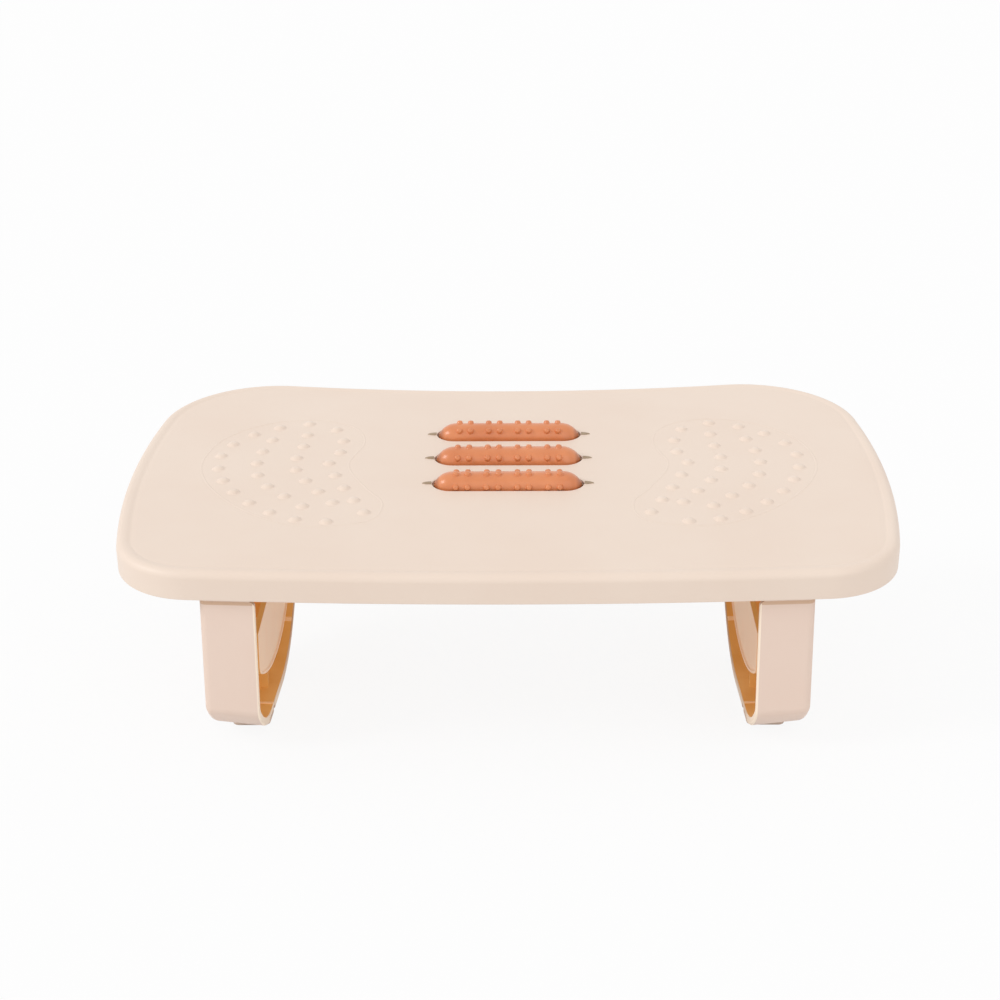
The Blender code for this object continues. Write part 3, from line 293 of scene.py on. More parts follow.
def slot_outline(half_length, half_width, taper, v):
    radius = (taper**2 + half_width**2) / (2 * half_width)
    turn = math.asin(taper / radius)
    centre = (half_length - taper, v + half_width - radius)
    upper = bend(centre, radius, math.pi / 2 - turn, math.pi / 2, 14)
    upper = upper + [(-x, across) for x, across in reversed(upper)]
    return upper + [(x, 2 * v - across) for x, across in reversed(upper)][1:-1]


beads = bmesh.new()
half_turns = (math.pi * step / 16 for step in range(1, 16))
half_circle = [(math.sin(angle), -math.cos(angle)) for angle in half_turns]
stretch = Matrix.Diagonal((BEAD_HALF_WIDTH, BEAD_HEIGHT - TOP, BEAD_REACH, 1))
lying = Matrix(((0, 0, 1, 0), (1, 0, 0, 0), (0, 1, 0, 0), (0, 0, 0, 1)))
for v in ROLLERS_AT.values():
    for side in (-1, 1):
        spot = Matrix.Translation((side * SLOT_HALF_LENGTH, v, TOP))
        turned(beads, half_circle, spot @ lying @ stretch, 20)
combine(deck, beads, SLOPE, "UNION")

slots = bmesh.new()
for v in ROLLERS_AT.values():
    rings = []
    for h, wider in SLOT_EDGE:
        outline = slot_outline(SLOT_HALF_LENGTH + wider, SLOT_HALF_WIDTH + wider, TAPER + GAP, v)
        rings.append([(x, across, h) for x, across in outline])
    loft(slots, rings)
combine(deck, slots, SLOPE, "DIFFERENCE")

grooves = bmesh.new()
for v in ROLLERS_AT.values():
    for side in (-1, 1):
        ends = sorted((side * (SLOT_HALF_LENGTH - TAPER), side * (PIN_END + GAP)))
        low = (ends[0], v - PIN_RADIUS - PIN_SIDE_GAP, 2 * PLATE_UNDER)
        high = (ends[1], v + PIN_RADIUS + PIN_SIDE_GAP, PIN_RADIUS + PIN_TOP_GAP - ROLLER_SINK)
        box(grooves, low, high)
combine(deck, grooves, SLOPE, "DIFFERENCE")

# Under the top: two long ribs, two cross ribs and six outer ribs that stiffen it, and hollow bosses for the
# screws of the roller tray and the leg brackets.
RIB_WALL = 1.6 * MM
RIB_LOW = PLATE_UNDER - 6 * MM
RIB_DRAFT = 0.25 * MM
LONG_RIB_INSET = 38 * MM
OUTER_RIB_PITCH = 52 * MM
BOSS_RADIUS = 3.5 * MM
BOSS_END = PLATE_UNDER - 5.5 * MM
BOSS = (
    (BOSS_RADIUS - 0.3 * MM, BOSS_END),
    (BOSS_RADIUS, BOSS_END + 0.3 * MM),
    (BOSS_RADIUS + 0.1 * MM, PLATE_UNDER / 2),
)
SCREW_HOLE = 1.5 * MM
TRAY_MARGIN = 2.1 * MM
TRAY_SCREW_INSET = 4.5 * MM
TRAY_FRONT = ROLLERS_AT["front"] - STUD_REACH - TRAY_MARGIN
TRAY_BACK = ROLLERS_AT["back"] + STUD_REACH + TRAY_MARGIN
TRAY_SCREW_X = SLOT_HALF_LENGTH + 9.5 * MM
TRAY_SCREW_VS = (TRAY_FRONT + TRAY_SCREW_INSET, TRAY_BACK - TRAY_SCREW_INSET)
TRAY_SCREWS = [(side * TRAY_SCREW_X, v) for side in (-1, 1) for v in TRAY_SCREW_VS]
CROSS_RIB_X = TRAY_SCREW_X + 4.6 * MM + 2 * BOSS_RADIUS
HINGE_X = 117.5 * MM
HINGE_DROP = 19 * MM
FRONT_LUG_AT = 22.933 * MM
REAR_LUG_END = 152.486 * MM
KNUCKLE = 3 * MM
BRACKET_FRONT = FRONT_LUG_AT + KNUCKLE + GAP
BRACKET_BACK = REAR_LUG_END - KNUCKLE - GAP
BRACKET_SCREW_X = 108.5 * MM
BRACKET_SCREW_INSET = 14 * MM
BRACKET_SCREW_VS = (
    BRACKET_FRONT + BRACKET_SCREW_INSET,
    (BRACKET_FRONT + BRACKET_BACK) / 2,
    BRACKET_BACK - BRACKET_SCREW_INSET,
)
BRACKET_SCREWS = [(side * BRACKET_SCREW_X, v) for side in (-1, 1) for v in BRACKET_SCREW_VS]
LEG_SIDE = 137.5 * MM
LEG_SWEEP = math.hypot(LEG_SIDE - HINGE_X, HINGE_DROP + PLATE_UNDER)
OUTER_RIB_START = HINGE_X + LEG_SWEEP + 5 * MM


def crossing(outline, axis, value, highest):
    """Where an outline crosses x = value (axis 0) or v = value (axis 1), at its far side."""
    found = []
    for start, end in zip(outline, outline[1:] + outline[:1]):
        low, high = sorted((start[axis], end[axis]))
        if low <= value <= high and high > low:
            share = (value - start[axis]) / (end[axis] - start[axis])
            found.append(start[1 - axis] + share * (end[1 - axis] - start[1 - axis]))
    return max(found) if highest else min(found)


def rib(low, high):
    """A rib grown down from the plate, thinner at its free edge as the mould needs."""
    work = bmesh.new()
    rings = []
    runs_across = high[0] - low[0] > high[1] - low[1]
    for h, thin in ((RIB_LOW, RIB_DRAFT), (RIB_LOW + 0.3 * MM, RIB_DRAFT / 2), (PLATE_UNDER / 2, 0)):
        dx, dv = (0, thin) if runs_across else (thin, 0)
        xs = (low[0] + dx, high[0] - dx)
        vs = (low[1] + dv, high[1] - dv)
        rings.append([(xs[i], vs[j], h) for i, j in ((0, 0), (1, 0), (1, 1), (0, 1))])
    loft(work, rings)
    combine(deck, work, SLOPE, "UNION")


inner_edge = deck_outline(SKIRT_WALL / 2)
half = RIB_WALL / 2
long_end = BRACKET_SCREW_X - 2 * BOSS_RADIUS
for x in (-CROSS_RIB_X, CROSS_RIB_X):
    rib((x - half, crossing(inner_edge, 0, x, False)), (x + half, crossing(inner_edge, 0, x, True)))
for v in (LONG_RIB_INSET, DECK_DEPTH - LONG_RIB_INSET):
    rib((-long_end, v - half), (long_end, v + half))
for v in (WIDEST_AT - OUTER_RIB_PITCH, WIDEST_AT, WIDEST_AT + OUTER_RIB_PITCH):
    end = crossing(inner_edge, 1, v, True)
    rib((OUTER_RIB_START, v - half), (end, v + half))
    rib((-end, v - half), (-OUTER_RIB_START, v + half))

bosses = bmesh.new()
holes = bmesh.new()
for x, v in TRAY_SCREWS + BRACKET_SCREWS:
    spot = Matrix.Translation((x, v, 0))
    turned(bosses, BOSS, spot, 32)
    turned(holes, ((SCREW_HOLE, 2 * BOSS_END), (SCREW_HOLE, PLATE_UNDER)), spot, 24)
combine(deck, bosses, SLOPE, "UNION")
combine(deck, holes, SLOPE, "DIFFERENCE")

# The peach plastic of the deck, the legs and their covers: a fine satin mould grain, faint flow clouds in the
# colour, and light scuffs. Feet polish the deck's bumps and lip, so these shine a little more.


def new_group(name, inputs, outputs):
    group = bpy.data.node_groups.new(name, "ShaderNodeTree")
    for label, kind, value in inputs:
        group.interface.new_socket(label, in_out="INPUT", socket_type=kind).default_value = value
    for label, kind in outputs:
        group.interface.new_socket(label, in_out="OUTPUT", socket_type=kind)
    return group, group.nodes.new("NodeGroupInput"), group.nodes.new("NodeGroupOutput")


def node(tree, kind, settings=None, **values):
    """A node with its settings, and its inputs either linked from a socket or given a value."""
    made = tree.nodes.new(kind)
    for key, value in (settings or {}).items():
        setattr(made, key, value)
    for key, value in values.items():
        socket = made.inputs[int(key[1:])] if key[0] == "i" and key[1:].isdigit() else made.inputs[key]
        if isinstance(value, bpy.types.NodeSocket):
            tree.links.new(value, socket)
        else:
            socket.default_value = value
    return made


def spread(tree, value, low, high, to_low, to_high):
    """A value stretched from one range to another and kept inside it."""
    return node(tree, "ShaderNodeMapRange", i0=value, i1=low, i2=high, i3=to_low, i4=to_high).outputs[0]


def calculate(tree, operation, *values):
    inputs = {f"i{index}": value for index, value in enumerate(values)}
    return node(tree, "ShaderNodeMath", {"operation": operation}, **inputs).outputs[0]


def noise(tree, where, size, detail, roughness=0.5):
    made = node(tree, "ShaderNodeTexNoise", Vector=where, Scale=size, Detail=detail, Roughness=roughness)
    return made.outputs["Fac"]


def colour_mix(tree, share, first, second):
    return node(tree, "ShaderNodeMix", {"data_type": "RGBA"}, i0=share, i6=first, i7=second).outputs[2]


COLOUR = "NodeSocketColor"
NUMBER = "NodeSocketFloat"
moulded, given, out = new_group(
    "moulded_plastic",
    (
        ("Pale", COLOUR, (0.8, 0.8, 0.8, 1)),
        ("Deep", COLOUR, (0.7, 0.7, 0.7, 1)),
        ("Flow Size", NUMBER, 16),
        ("Grain Size", NUMBER, 2400),
        ("Smooth", NUMBER, 0.4),
        ("Rough", NUMBER, 0.5),
    ),
    (("Colour", COLOUR), ("Roughness", NUMBER), ("Height", NUMBER)),
)
where = node(moulded, "ShaderNodeTexCoord").outputs["Object"]
clouds = spread(moulded, noise(moulded, where, given.outputs["Flow Size"], 3, 0.55), 0.36, 0.64, 0, 1)
tint = colour_mix(moulded, clouds, given.outputs["Pale"], given.outputs["Deep"])
grain = noise(moulded, where, given.outputs["Grain Size"], 2)
stretched = node(moulded, "ShaderNodeMapping", Vector=where, Rotation=(0, 0, 0.5), Scale=(0.12, 1.6, 0.6))
scuffs = spread(moulded, noise(moulded, stretched.outputs[0], 900, 4, 0.6), 0.62, 0.74, 0, 1)
patches = spread(moulded, noise(moulded, where, 45, 2), 0.4, 0.65, 0, 1)
worn = calculate(moulded, "MULTIPLY", scuffs, patches)
relief = calculate(moulded, "MULTIPLY_ADD", worn, 0.35, grain)
roughness = spread(moulded, relief, 0.3, 0.8, given.outputs["Smooth"], given.outputs["Rough"])
moulded.links.new(tint, out.inputs["Colour"])
moulded.links.new(roughness, out.inputs["Roughness"])
moulded.links.new(relief, out.inputs["Height"])


def dressed(name, group, strength, depth, values):
    """A material with a group's colour, roughness and relief, and its tree, shader and group node."""
    material = bpy.data.materials.new(name)
    material.use_nodes = True
    tree = material.node_tree
    shader = tree.nodes["Principled BSDF"]
    surface = node(tree, "ShaderNodeGroup", {"node_tree": group}, **values)
    relief = node(tree, "ShaderNodeBump", Strength=strength, Distance=depth, Height=surface.outputs["Height"])
    tree.links.new(surface.outputs["Colour"], shader.inputs["Base Color"])
    tree.links.new(surface.outputs["Roughness"], shader.inputs["Roughness"])
    tree.links.new(relief.outputs["Normal"], shader.inputs["Normal"])
    return material, tree, shader, surface


def plastic(name, pale, deep, smooth, rough, grain_depth, flow_size=16.0, grain_size=2400.0, specular=0.5):
    values = {"Pale": (*pale, 1), "Deep": (*deep, 1), "Smooth": smooth, "Rough": rough}
    values.update({"Flow Size": flow_size, "Grain Size": grain_size})
    material, tree, shader, surface = dressed(name, moulded, 1.0, grain_depth, values)
    shader.inputs["Specular IOR Level"].default_value = specular
    return material, tree, shader, surface


def height_over_deck(tree):
    """Height of the shaded point above the plane of the deck's top, square to it."""
    local = node(tree, "ShaderNodeTexCoord").outputs["Object"]
    raised = node(tree, "ShaderNodeVectorMath", {"operation": "SUBTRACT"}, i0=local, i1=SLOPE.translation)
    upright = SLOPE.to_3x3() @ Vector((0, 0, 1))
    product = {"operation": "DOT_PRODUCT"}
    return node(tree, "ShaderNodeVectorMath", product, i0=raised.outputs[0], i1=upright).outputs["Value"]


PEACH = (0.88, 0.733, 0.621)
PEACH_DEEP = (0.865, 0.71, 0.597)
BROWN = (0.42, 0.32, 0.22)
BROWN_DEEP = (0.36, 0.26, 0.17)
deck_plastic, tree, shader, surface = plastic("deck_peach", PEACH, PEACH_DEEP, 0.42, 0.52, 0.02 * MM)
polished = spread(tree, height_over_deck(tree), -0.1 * MM, 1.0 * MM, 0, 0.14)
gloss = calculate(tree, "SUBTRACT", surface.outputs["Roughness"], polished)
tree.links.new(gloss, shader.inputs["Roughness"])
bead_plastic = plastic("bead_brown", BROWN, BROWN_DEEP, 0.3, 0.4, 0.01 * MM, flow_size=300.0)[0]
deck.data.materials.append(deck_plastic)
deck.data.materials.append(bead_plastic)
to_deck = SLOPE.inverted()
for face in deck.data.polygons:
    spot = to_deck @ face.center
    in_line = min(abs(spot.y - v) for v in ROLLERS_AT.values()) < BEAD_HALF_WIDTH
    at_end = SLOT_HALF_LENGTH - MM < abs(spot.x) < SLOT_HALF_LENGTH + BEAD_REACH
    if in_line and at_end and spot.z > TOP + 0.06 * MM:
        face.material_index = 1
finish(deck, "deck", "peach_plastic", "top_deck")

# Three massage rollers. Each is a glossy terracotta barrel with ogive ends and a bore for its axle, with six
# rows of small studs in pairs. The ends are painted darker brown: painted shade where they sit down in the
# slots.
TERRACOTTA = (0.78, 0.275, 0.105)
TERRACOTTA_DEEP = (0.70, 0.225, 0.08)
SLOT_SHADE_BROWN = (0.42, 0.13, 0.045, 1)
HUB_RADIUS = 1.4 * MM
BORE_RADIUS = 0.92 * MM
STUD = (
    (2.1, -1.2), (1.85, -0.25), (1.6, 0.1), (1.45, 0.55),
    (1.28, 1.0), (1.0, 1.27), (0.6, 1.38), (0.1, 1.4),
)
STUD_ROWS = 6
STUD_PITCH = 5.7 * MM
PAIR_PITCH = 15 * MM
FIRST_STUD_ROW = {"front": math.radians(16), "middle": math.radians(33), "back": math.radians(47)}


def along(point, direction):
    turn = Vector((0, 0, 1)).rotation_difference(Vector(direction)).to_matrix().to_4x4()
    return Matrix.Translation(point) @ turn


def tube(work, outer, inner, place, steps):
    """A turned body with a bore: the outer profile runs up and the inner one closes it back down."""
    rows = []
    for radius, height in list(outer) + list(inner)[::-1]:
        rows.append([work.verts.new(place @ Vector((x, y, height))) for x, y in circle(radius, steps)])
    for low, high in zip(rows, rows[1:] + rows[:1]):
        for index in range(steps):
            after = (index + 1) % steps
            work.faces.new((low[index], low[after], high[after], high[index]))


roller_plastic, tree, shader, surface = plastic(
    "roller_terracotta", TERRACOTTA, TERRACOTTA_DEEP, 0.27, 0.35, 0.006 * MM, flow_size=60.0
)
shader.inputs["Coat Weight"].default_value = 0.3
shader.inputs["Coat Roughness"].default_value = 0.24
local = node(tree, "ShaderNodeTexCoord").outputs["Object"]
reach = calculate(tree, "ABSOLUTE", node(tree, "ShaderNodeSeparateXYZ", Vector=local).outputs["X"])
# Painted shade: the colour turns dark brown towards both ends, where the slots shade the roller.
painted_slot_shade = spread(tree, reach, 33.2 * MM, 34.8 * MM, 0, 0.85)
ends = colour_mix(tree, painted_slot_shade, surface.outputs["Colour"], SLOT_SHADE_BROWN)
tree.links.new(ends, shader.inputs["Base Color"])

roller_sweep = (TAPER**2 + ROLLER_RADIUS**2) / (2 * ROLLER_RADIUS)
roller_shoulder = ROLLER_LENGTH / 2 - TAPER
roller_end = roller_shoulder + math.sqrt(roller_sweep**2 - (roller_sweep - ROLLER_RADIUS + HUB_RADIUS) ** 2)
half_profile = []
for step in range(17):
    place = roller_shoulder + (roller_end - roller_shoulder) * math.sin(math.pi / 2 * step / 16)
    across = math.sqrt(roller_sweep**2 - (place - roller_shoulder) ** 2) - roller_sweep + ROLLER_RADIUS
    half_profile.append((across, place))
roller_profile = [(across, -place) for across, place in reversed(half_profile)] + half_profile
stud_profile = [(radius * MM, height * MM) for radius, height in STUD]
for name, v in ROLLERS_AT.items():
    axle = SLOPE @ Matrix.Translation((0, v, -ROLLER_SINK))
    work = bmesh.new()
    bore = [(BORE_RADIUS, -roller_end), (BORE_RADIUS, roller_end)]
    tube(work, roller_profile, bore, along((0, 0, 0), (1, 0, 0)), 64)
    roller = solid(f"{name}_massage_roller", work, axle)
    roller.data.materials.append(roller_plastic)
    studs = bmesh.new()
    for row in range(STUD_ROWS):
        angle = FIRST_STUD_ROW[name] + 2 * math.pi * row / STUD_ROWS
        direction = Vector((0, -math.cos(angle), math.sin(angle)))
        for pair in (-1.5, -0.5, 0.5, 1.5):
            for half in (-0.5, 0.5):
                x = pair * PAIR_PITCH + half * STUD_PITCH
                place = along((x, *(direction.yz * ROLLER_RADIUS)), direction)
                turned(studs, stud_profile, place, 20)
    combine(roller, studs, axle, "UNION")
    finish(roller, f"{name}_roller", "terracotta_plastic", f"roller_{name}")

# Bright zinc-plated or drawn steel, with fine drawing marks and a faint tarnish, for the axles, hinge pins,
# clips and screws. First the three roller axles, wire lying in the deck's grooves, coloured dark brown as
# painted shade.
drawn, given, out = new_group(
    "drawn_steel",
    (("Bright", COLOUR, (0.7, 0.7, 0.7, 1)), ("Dull", COLOUR, (0.5, 0.5, 0.5, 1)), ("Marks", NUMBER, 2500)),
    (("Colour", COLOUR), ("Roughness", NUMBER), ("Height", NUMBER)),
)
where = node(drawn, "ShaderNodeTexCoord").outputs["Object"]
stretched = node(drawn, "ShaderNodeMapping", Vector=where, Scale=(0.25, 0.2, 1))
marks = noise(drawn, stretched.outputs[0], given.outputs["Marks"], 3)
dulled = spread(drawn, noise(drawn, where, 260, 4, 0.6), 0.45, 0.7, 0, 1)
tint = colour_mix(drawn, dulled, given.outputs["Bright"], given.outputs["Dull"])
blend = calculate(drawn, "MULTIPLY_ADD", marks, 0.6, dulled)
drawn.links.new(tint, out.inputs["Colour"])
drawn.links.new(spread(drawn, blend, 0.2, 1.4, 0.24, 0.5), out.inputs["Roughness"])
drawn.links.new(marks, out.inputs["Height"])


def steel(name, bright, dull, marks_size):
    values = {"Bright": (*bright, 1), "Dull": (*dull, 1), "Marks": marks_size}
    material, tree, shader, surface = dressed(name, drawn, 0.6, 0.01 * MM, values)
    shader.inputs["Metallic"].default_value = 1.0
    return material


wire_steel = steel("drawn_wire", (0.66, 0.65, 0.63), (0.46, 0.44, 0.42), 2500.0)
# Painted shade: the roller axles are dark brown, so the wire looks shaded where it shows at the slot ends.
axle_steel_painted_dark = steel("axle_wire_painted_shade", (0.30, 0.17, 0.11), (0.18, 0.09, 0.055), 2500.0)
zinc_steel = steel("zinc_plate", (0.72, 0.72, 0.71), (0.55, 0.55, 0.56), 1400.0)
for name, v in ROLLERS_AT.items():
    work = bmesh.new()
    tip = 0.25 * MM
    profile = [(PIN_RADIUS - tip, -PIN_END), (PIN_RADIUS, tip - PIN_END)]
    profile += [(radius, -height) for radius, height in reversed(profile)]
    turned(work, profile, along((0, v, -ROLLER_SINK), (1, 0, 0)), 32)
    pin = solid(f"{name}_roller_axle", work, SLOPE)
    pin.data.materials.append(axle_steel_painted_dark)
    finish(pin, "deck", "bright_steel", f"roller_pin_{name}")

# Roller tray and leg brackets, plain white inner mouldings that never show in use. The tray closes the slots
# from below and holds the axles up, and each bracket is a rail with an ear for the hinge pin at either end.
INNER_WHITE = (0.78, 0.74, 0.70)
INNER_DEEP = (0.74, 0.69, 0.64)
MOULD_EDGE = 0.25 * MM
inner_plastic = plastic("inner_white", INNER_WHITE, INNER_DEEP, 0.46, 0.58, 0.03 * MM, grain_size=1600.0)[0]


def softened(name, source):
    """A moulding with the CAD node's own shape and its sharp edges rounded off."""
    work = bmesh.new()
    work.from_mesh(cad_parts[source].data)
    bmesh.ops.remove_doubles(work, verts=work.verts, dist=0.005 * MM)
    bmesh.ops.dissolve_limit(work, angle_limit=math.radians(1), verts=work.verts, edges=work.edges)
    item = solid(name, work, Matrix())
    item.data.materials.append(inner_plastic)
    for face in item.data.polygons:
        face.material_index = 0
    rounding = item.modifiers.new("rounding", "BEVEL")
    rounding.width = MOULD_EDGE
    rounding.segments = 2
    rounding.limit_method = "ANGLE"
    rounding.angle_limit = math.radians(50)
    apply_modifiers(item)
    finish(item, "deck", "white_inner_plastic", source)


softened("roller_tray_moulding", "roller_tray")
for side_name in ("left", "right"):
    softened(f"{side_name}_bracket_moulding", f"leg_bracket_{side_name}")

# Zinc-plated pan-head screws with a cross slot: four hold the tray and three each bracket, from below.
SCREW_SHANK = 1.3 * MM
SCREW_HEAD = 2.7 * MM
SCREW_LENGTH = 6 * MM
SCREW_POINT = 0.8 * MM
PAN_HEIGHT = 1.5 * MM
CROSS_SLOT = ((-2, 1.35 * MM, 0.28 * MM), (-1, 1.35 * MM, 0.28 * MM), (-0.25, 0.675 * MM, 0.168 * MM))
TRAY_EAR = 1.8 * MM
BRACKET_RAIL = 2 * MM


def screw(name, place, head_height, body, source):
    """Its head sits on the plane z = 0 of its place, and its shank runs up +Z."""
    work = bmesh.new()
    crown = SCREW_HEAD * 0.6
    profile = [(crown * 0.5, -head_height), (crown, -head_height * 0.93)]
    for step in range(1, 7):
        angle = math.pi / 2 * step / 6
        radius = crown + (SCREW_HEAD - crown) * math.sin(angle)
        profile.append((radius, -head_height * (0.28 + 0.65 * math.cos(angle))))
    profile += [(SCREW_HEAD, -0.05 * MM), (SCREW_HEAD - 0.05 * MM, 0), (SCREW_SHANK, 0)]
    profile += [(SCREW_SHANK, SCREW_LENGTH - SCREW_POINT), (SCREW_SHANK * 0.45, SCREW_LENGTH)]
    turned(work, profile, Matrix(), 32)
    item = solid(name, work, place)
    item.data.materials.append(zinc_steel)
    for turn in (0, math.pi / 2):
        swivel = Matrix.Rotation(turn + 0.4, 3, "Z")
        rings = []
        for depth, reach, thick in CROSS_SLOT:
            corners = ((reach, thick), (-reach, thick), (-reach, -thick), (reach, -thick))
            rings.append([swivel @ Vector((x, y, depth * head_height)) for x, y in corners])
        arm = bmesh.new()
        loft(arm, rings)
        combine(item, arm, place, "DIFFERENCE")
    finish(item, body, "bright_steel", source)


for number, (x, v) in enumerate(TRAY_SCREWS, 1):
    place = SLOPE @ Matrix.Translation((x, v, BOSS_END - TRAY_EAR - 2 * GAP))
    screw(f"tray_cross_screw_{number}", place, PAN_HEIGHT, "deck", f"tray_screw_{number}")
for side, side_name in SIDES:
    for number, v in enumerate(BRACKET_SCREW_VS, 1):
        place = SLOPE @ Matrix.Translation((side * BRACKET_SCREW_X, v, BOSS_END - BRACKET_RAIL - 2 * GAP))
        name = f"{side_name}_bracket_cross_screw_{number}"
        screw(name, place, PAN_HEIGHT, "deck", f"bracket_screw_{side_name}_{number}")

# Legs. Each is a U-shaped tray of peach plastic lying on its side, open towards the middle. Inside are one
# floor rib, two thin cross ridges, two screw posts and two lugs for the hinge pin. The inside is painted
# amber with a faint painted glow, standing in for light that has passed through the thin walls.
FLOOR_FRAME = Matrix.Translation((0, SLOPE.translation.y, 0))
LEG_OUTER = 138.3 * MM
LEG_INNER = 113 * MM
LEG_FRONT = 8 * MM
LEG_REAR = 171 * MM
LEG_WALL = 2.5 * MM
LEG_DRAFT = math.tan(math.radians(3))
LEG_EDGE = 3.2 * MM
STAND = 2.2 * MM
HEEL = (LEG_REAR - 86 * MM, STAND + 90 * MM)
LEG_SHAPE = {
    "front": LEG_FRONT,
    "rear": LEG_REAR,
    "bottom": STAND,
    "toe": LEG_FRONT + 40 * MM,
    "heel": HEEL[0],
    "front_radius": 55 * MM,
    "rear_radius": 90 * MM,
    "front_corner": 6 * MM,
    "rear_corner": 20 * MM,
}
WEB_FACE = LEG_OUTER - LEG_WALL
WALL_TOP = -SKIRT_DEPTH - 1.3 * MM
COVER_FACE = LEG_INNER + 3 * MM
COVER_BACK = COVER_FACE + 2 * MM
COVER_FRONT = LEG_FRONT + 21 * MM
COVER_REAR = LEG_REAR - 28 * MM
COVER_BOTTOM = STAND + 15.6 * MM
COVER_TOP = -42 * MM
COVER_SHAPE = {
    "front": COVER_FRONT,
    "rear": COVER_REAR,
    "bottom": COVER_BOTTOM,
    "toe": HEEL[0] - 4 * MM,
    "heel": HEEL[0],
    "front_radius": 112 * MM,
    "rear_radius": 112 * MM,
    "front_corner": 6 * MM,
    "rear_corner": 10 * MM,
}
FOOT_AT = {"front": (LEG_FRONT + 39 * MM, LEG_INNER), "rear": (LEG_REAR - 60 * MM, LEG_INNER + 3 * MM)}
PAD_WIDTH = 18 * MM
PAD_HALF_DEPTH = 9 * MM
OUTSIDE = 0
INSIDE = 1
RIM = 2
LEDGE = 3
RIM_EDGE = 0.9 * MM
RIM_STEPS = 3
RIM_FALL = 1.4 * MM
TOP_ROUNDING = 3.5 * MM
LUGS_AT = (FRONT_LUG_AT, REAR_LUG_END - KNUCKLE)
LUG_RADIUS = 4.2 * MM
LUG_ROOT = 24 * MM
HINGE_BORE = 2.12 * MM
BEHIND_COVER = COVER_BACK + GAP
IN_FLOOR = STAND + 1.9 * MM
LEDGE_AT = 131 * MM
SILL_AT = 53 * MM


def above_floor(y, h):
    """Height above the floor of the plane at h in the deck's frame, y behind the deck's front edge."""
    return SLOPE.translation.z + (y * math.sin(SLOPE_ANGLE) + h) / math.cos(SLOPE_ANGLE)


def rounded_corner(edge, middle, bottom, radius, corner, way):
    """Centre and last angle of the small corner between an upright edge and a long arc over the floor."""
    y = edge + way * corner
    drop = math.sqrt((radius - corner) ** 2 - (y - middle) ** 2)
    return (y, bottom + radius - drop), math.atan2(-drop, y - middle) + 2 * math.pi


def u_outline(shape, inset, top_h, fall=0.0):
    """(y, z) points of a U: down the front, round the bottom, up the rear, closed along the deck's slope."""
    front = shape["front"] + inset
    rear = shape["rear"] - inset
    bottom = shape["bottom"] + inset - fall
    front_radius = shape["front_radius"] - inset
    rear_radius = shape["rear_radius"] - inset
    front_corner = shape["front_corner"] - inset
    rear_corner = shape["rear_corner"] - inset
    toe = (shape["toe"], bottom + front_radius)
    heel = (shape["heel"], bottom + rear_radius)
    front_centre, front_turn = rounded_corner(front, toe[0], bottom, front_radius, front_corner, 1)
    rear_centre, rear_turn = rounded_corner(rear, heel[0], bottom, rear_radius, rear_corner, -1)
    points = [(front, above_floor(front, top_h))]
    points += bend(front_centre, front_corner, math.pi, front_turn, 10)
    points += bend(toe, front_radius, front_turn, 1.5 * math.pi, 24)[1:]
    points += bend(heel, rear_radius, 1.5 * math.pi, rear_turn, 32)
    points += bend(rear_centre, rear_corner, rear_turn, 2 * math.pi, 12)[1:]
    points.append((rear, above_floor(rear, top_h)))
    return points


def leg_ring(side, x, inset, top_h, fall=0.0):
    return [(side * x, y, z) for y, z in u_outline(LEG_SHAPE, inset, top_h, fall)]


def slope_prism(work, side, outline, low_v, high_v, finish=0):
    loft(work, [[(side * x, v, h) for x, h in outline] for v in (low_v, high_v)], finish)


COVER_SCREW_YS = (COVER_FRONT + 51 * MM, COVER_REAR - 15 * MM)
COVER_SCREWS = [(y, above_floor(y, COVER_TOP - 7 * MM)) for y in COVER_SCREW_YS]
LEG_PEACH = (0.85, 0.675, 0.57)
LEG_PEACH_DEEP = (0.84, 0.65, 0.545)
SKIRT_SHADOW_BROWN = (0.55, 0.30, 0.12, 1)
leg_plastic, tree, shader, surface = plastic("leg_peach", LEG_PEACH, LEG_PEACH_DEEP, 0.44, 0.54, 0.02 * MM)
# Painted shadow: a thin brown band round each leg just below the skirt's edge, where the skirt shades it.
height = height_over_deck(tree)
shade_start = spread(tree, height, -17.5 * MM, -17.2 * MM, 0, 0.55)
shade_end = spread(tree, height, -15.8 * MM, -15.5 * MM, 0, 0.55)
shaded = calculate(tree, "SUBTRACT", shade_start, shade_end)
skirt_shadow_colour = colour_mix(tree, shaded, surface.outputs["Colour"], SKIRT_SHADOW_BROWN)
tree.links.new(skirt_shadow_colour, shader.inputs["Base Color"])


def painted_glow(tree, shader, colour, strength):
    """A painted glow: the surface gives off faint light in the given colour, painted light for lit thin
    plastic.
    """
    tree.links.new(colour, shader.inputs["Emission Color"])
    shader.inputs["Emission Strength"].default_value = strength


# Painted light: the leg's inside is a deeper amber copy of the leg plastic, with a painted glow.
AMBER = (0.77, 0.44, 0.14)
AMBER_DEEP = (0.70, 0.36, 0.09)
amber_plastic, tree, shader, surface = plastic(
    "leg_inside_amber", AMBER, AMBER_DEEP, 0.5, 0.6, 0.02 * MM, flow_size=30.0
)
painted_glow(tree, shader, surface.outputs["Colour"], 0.2)

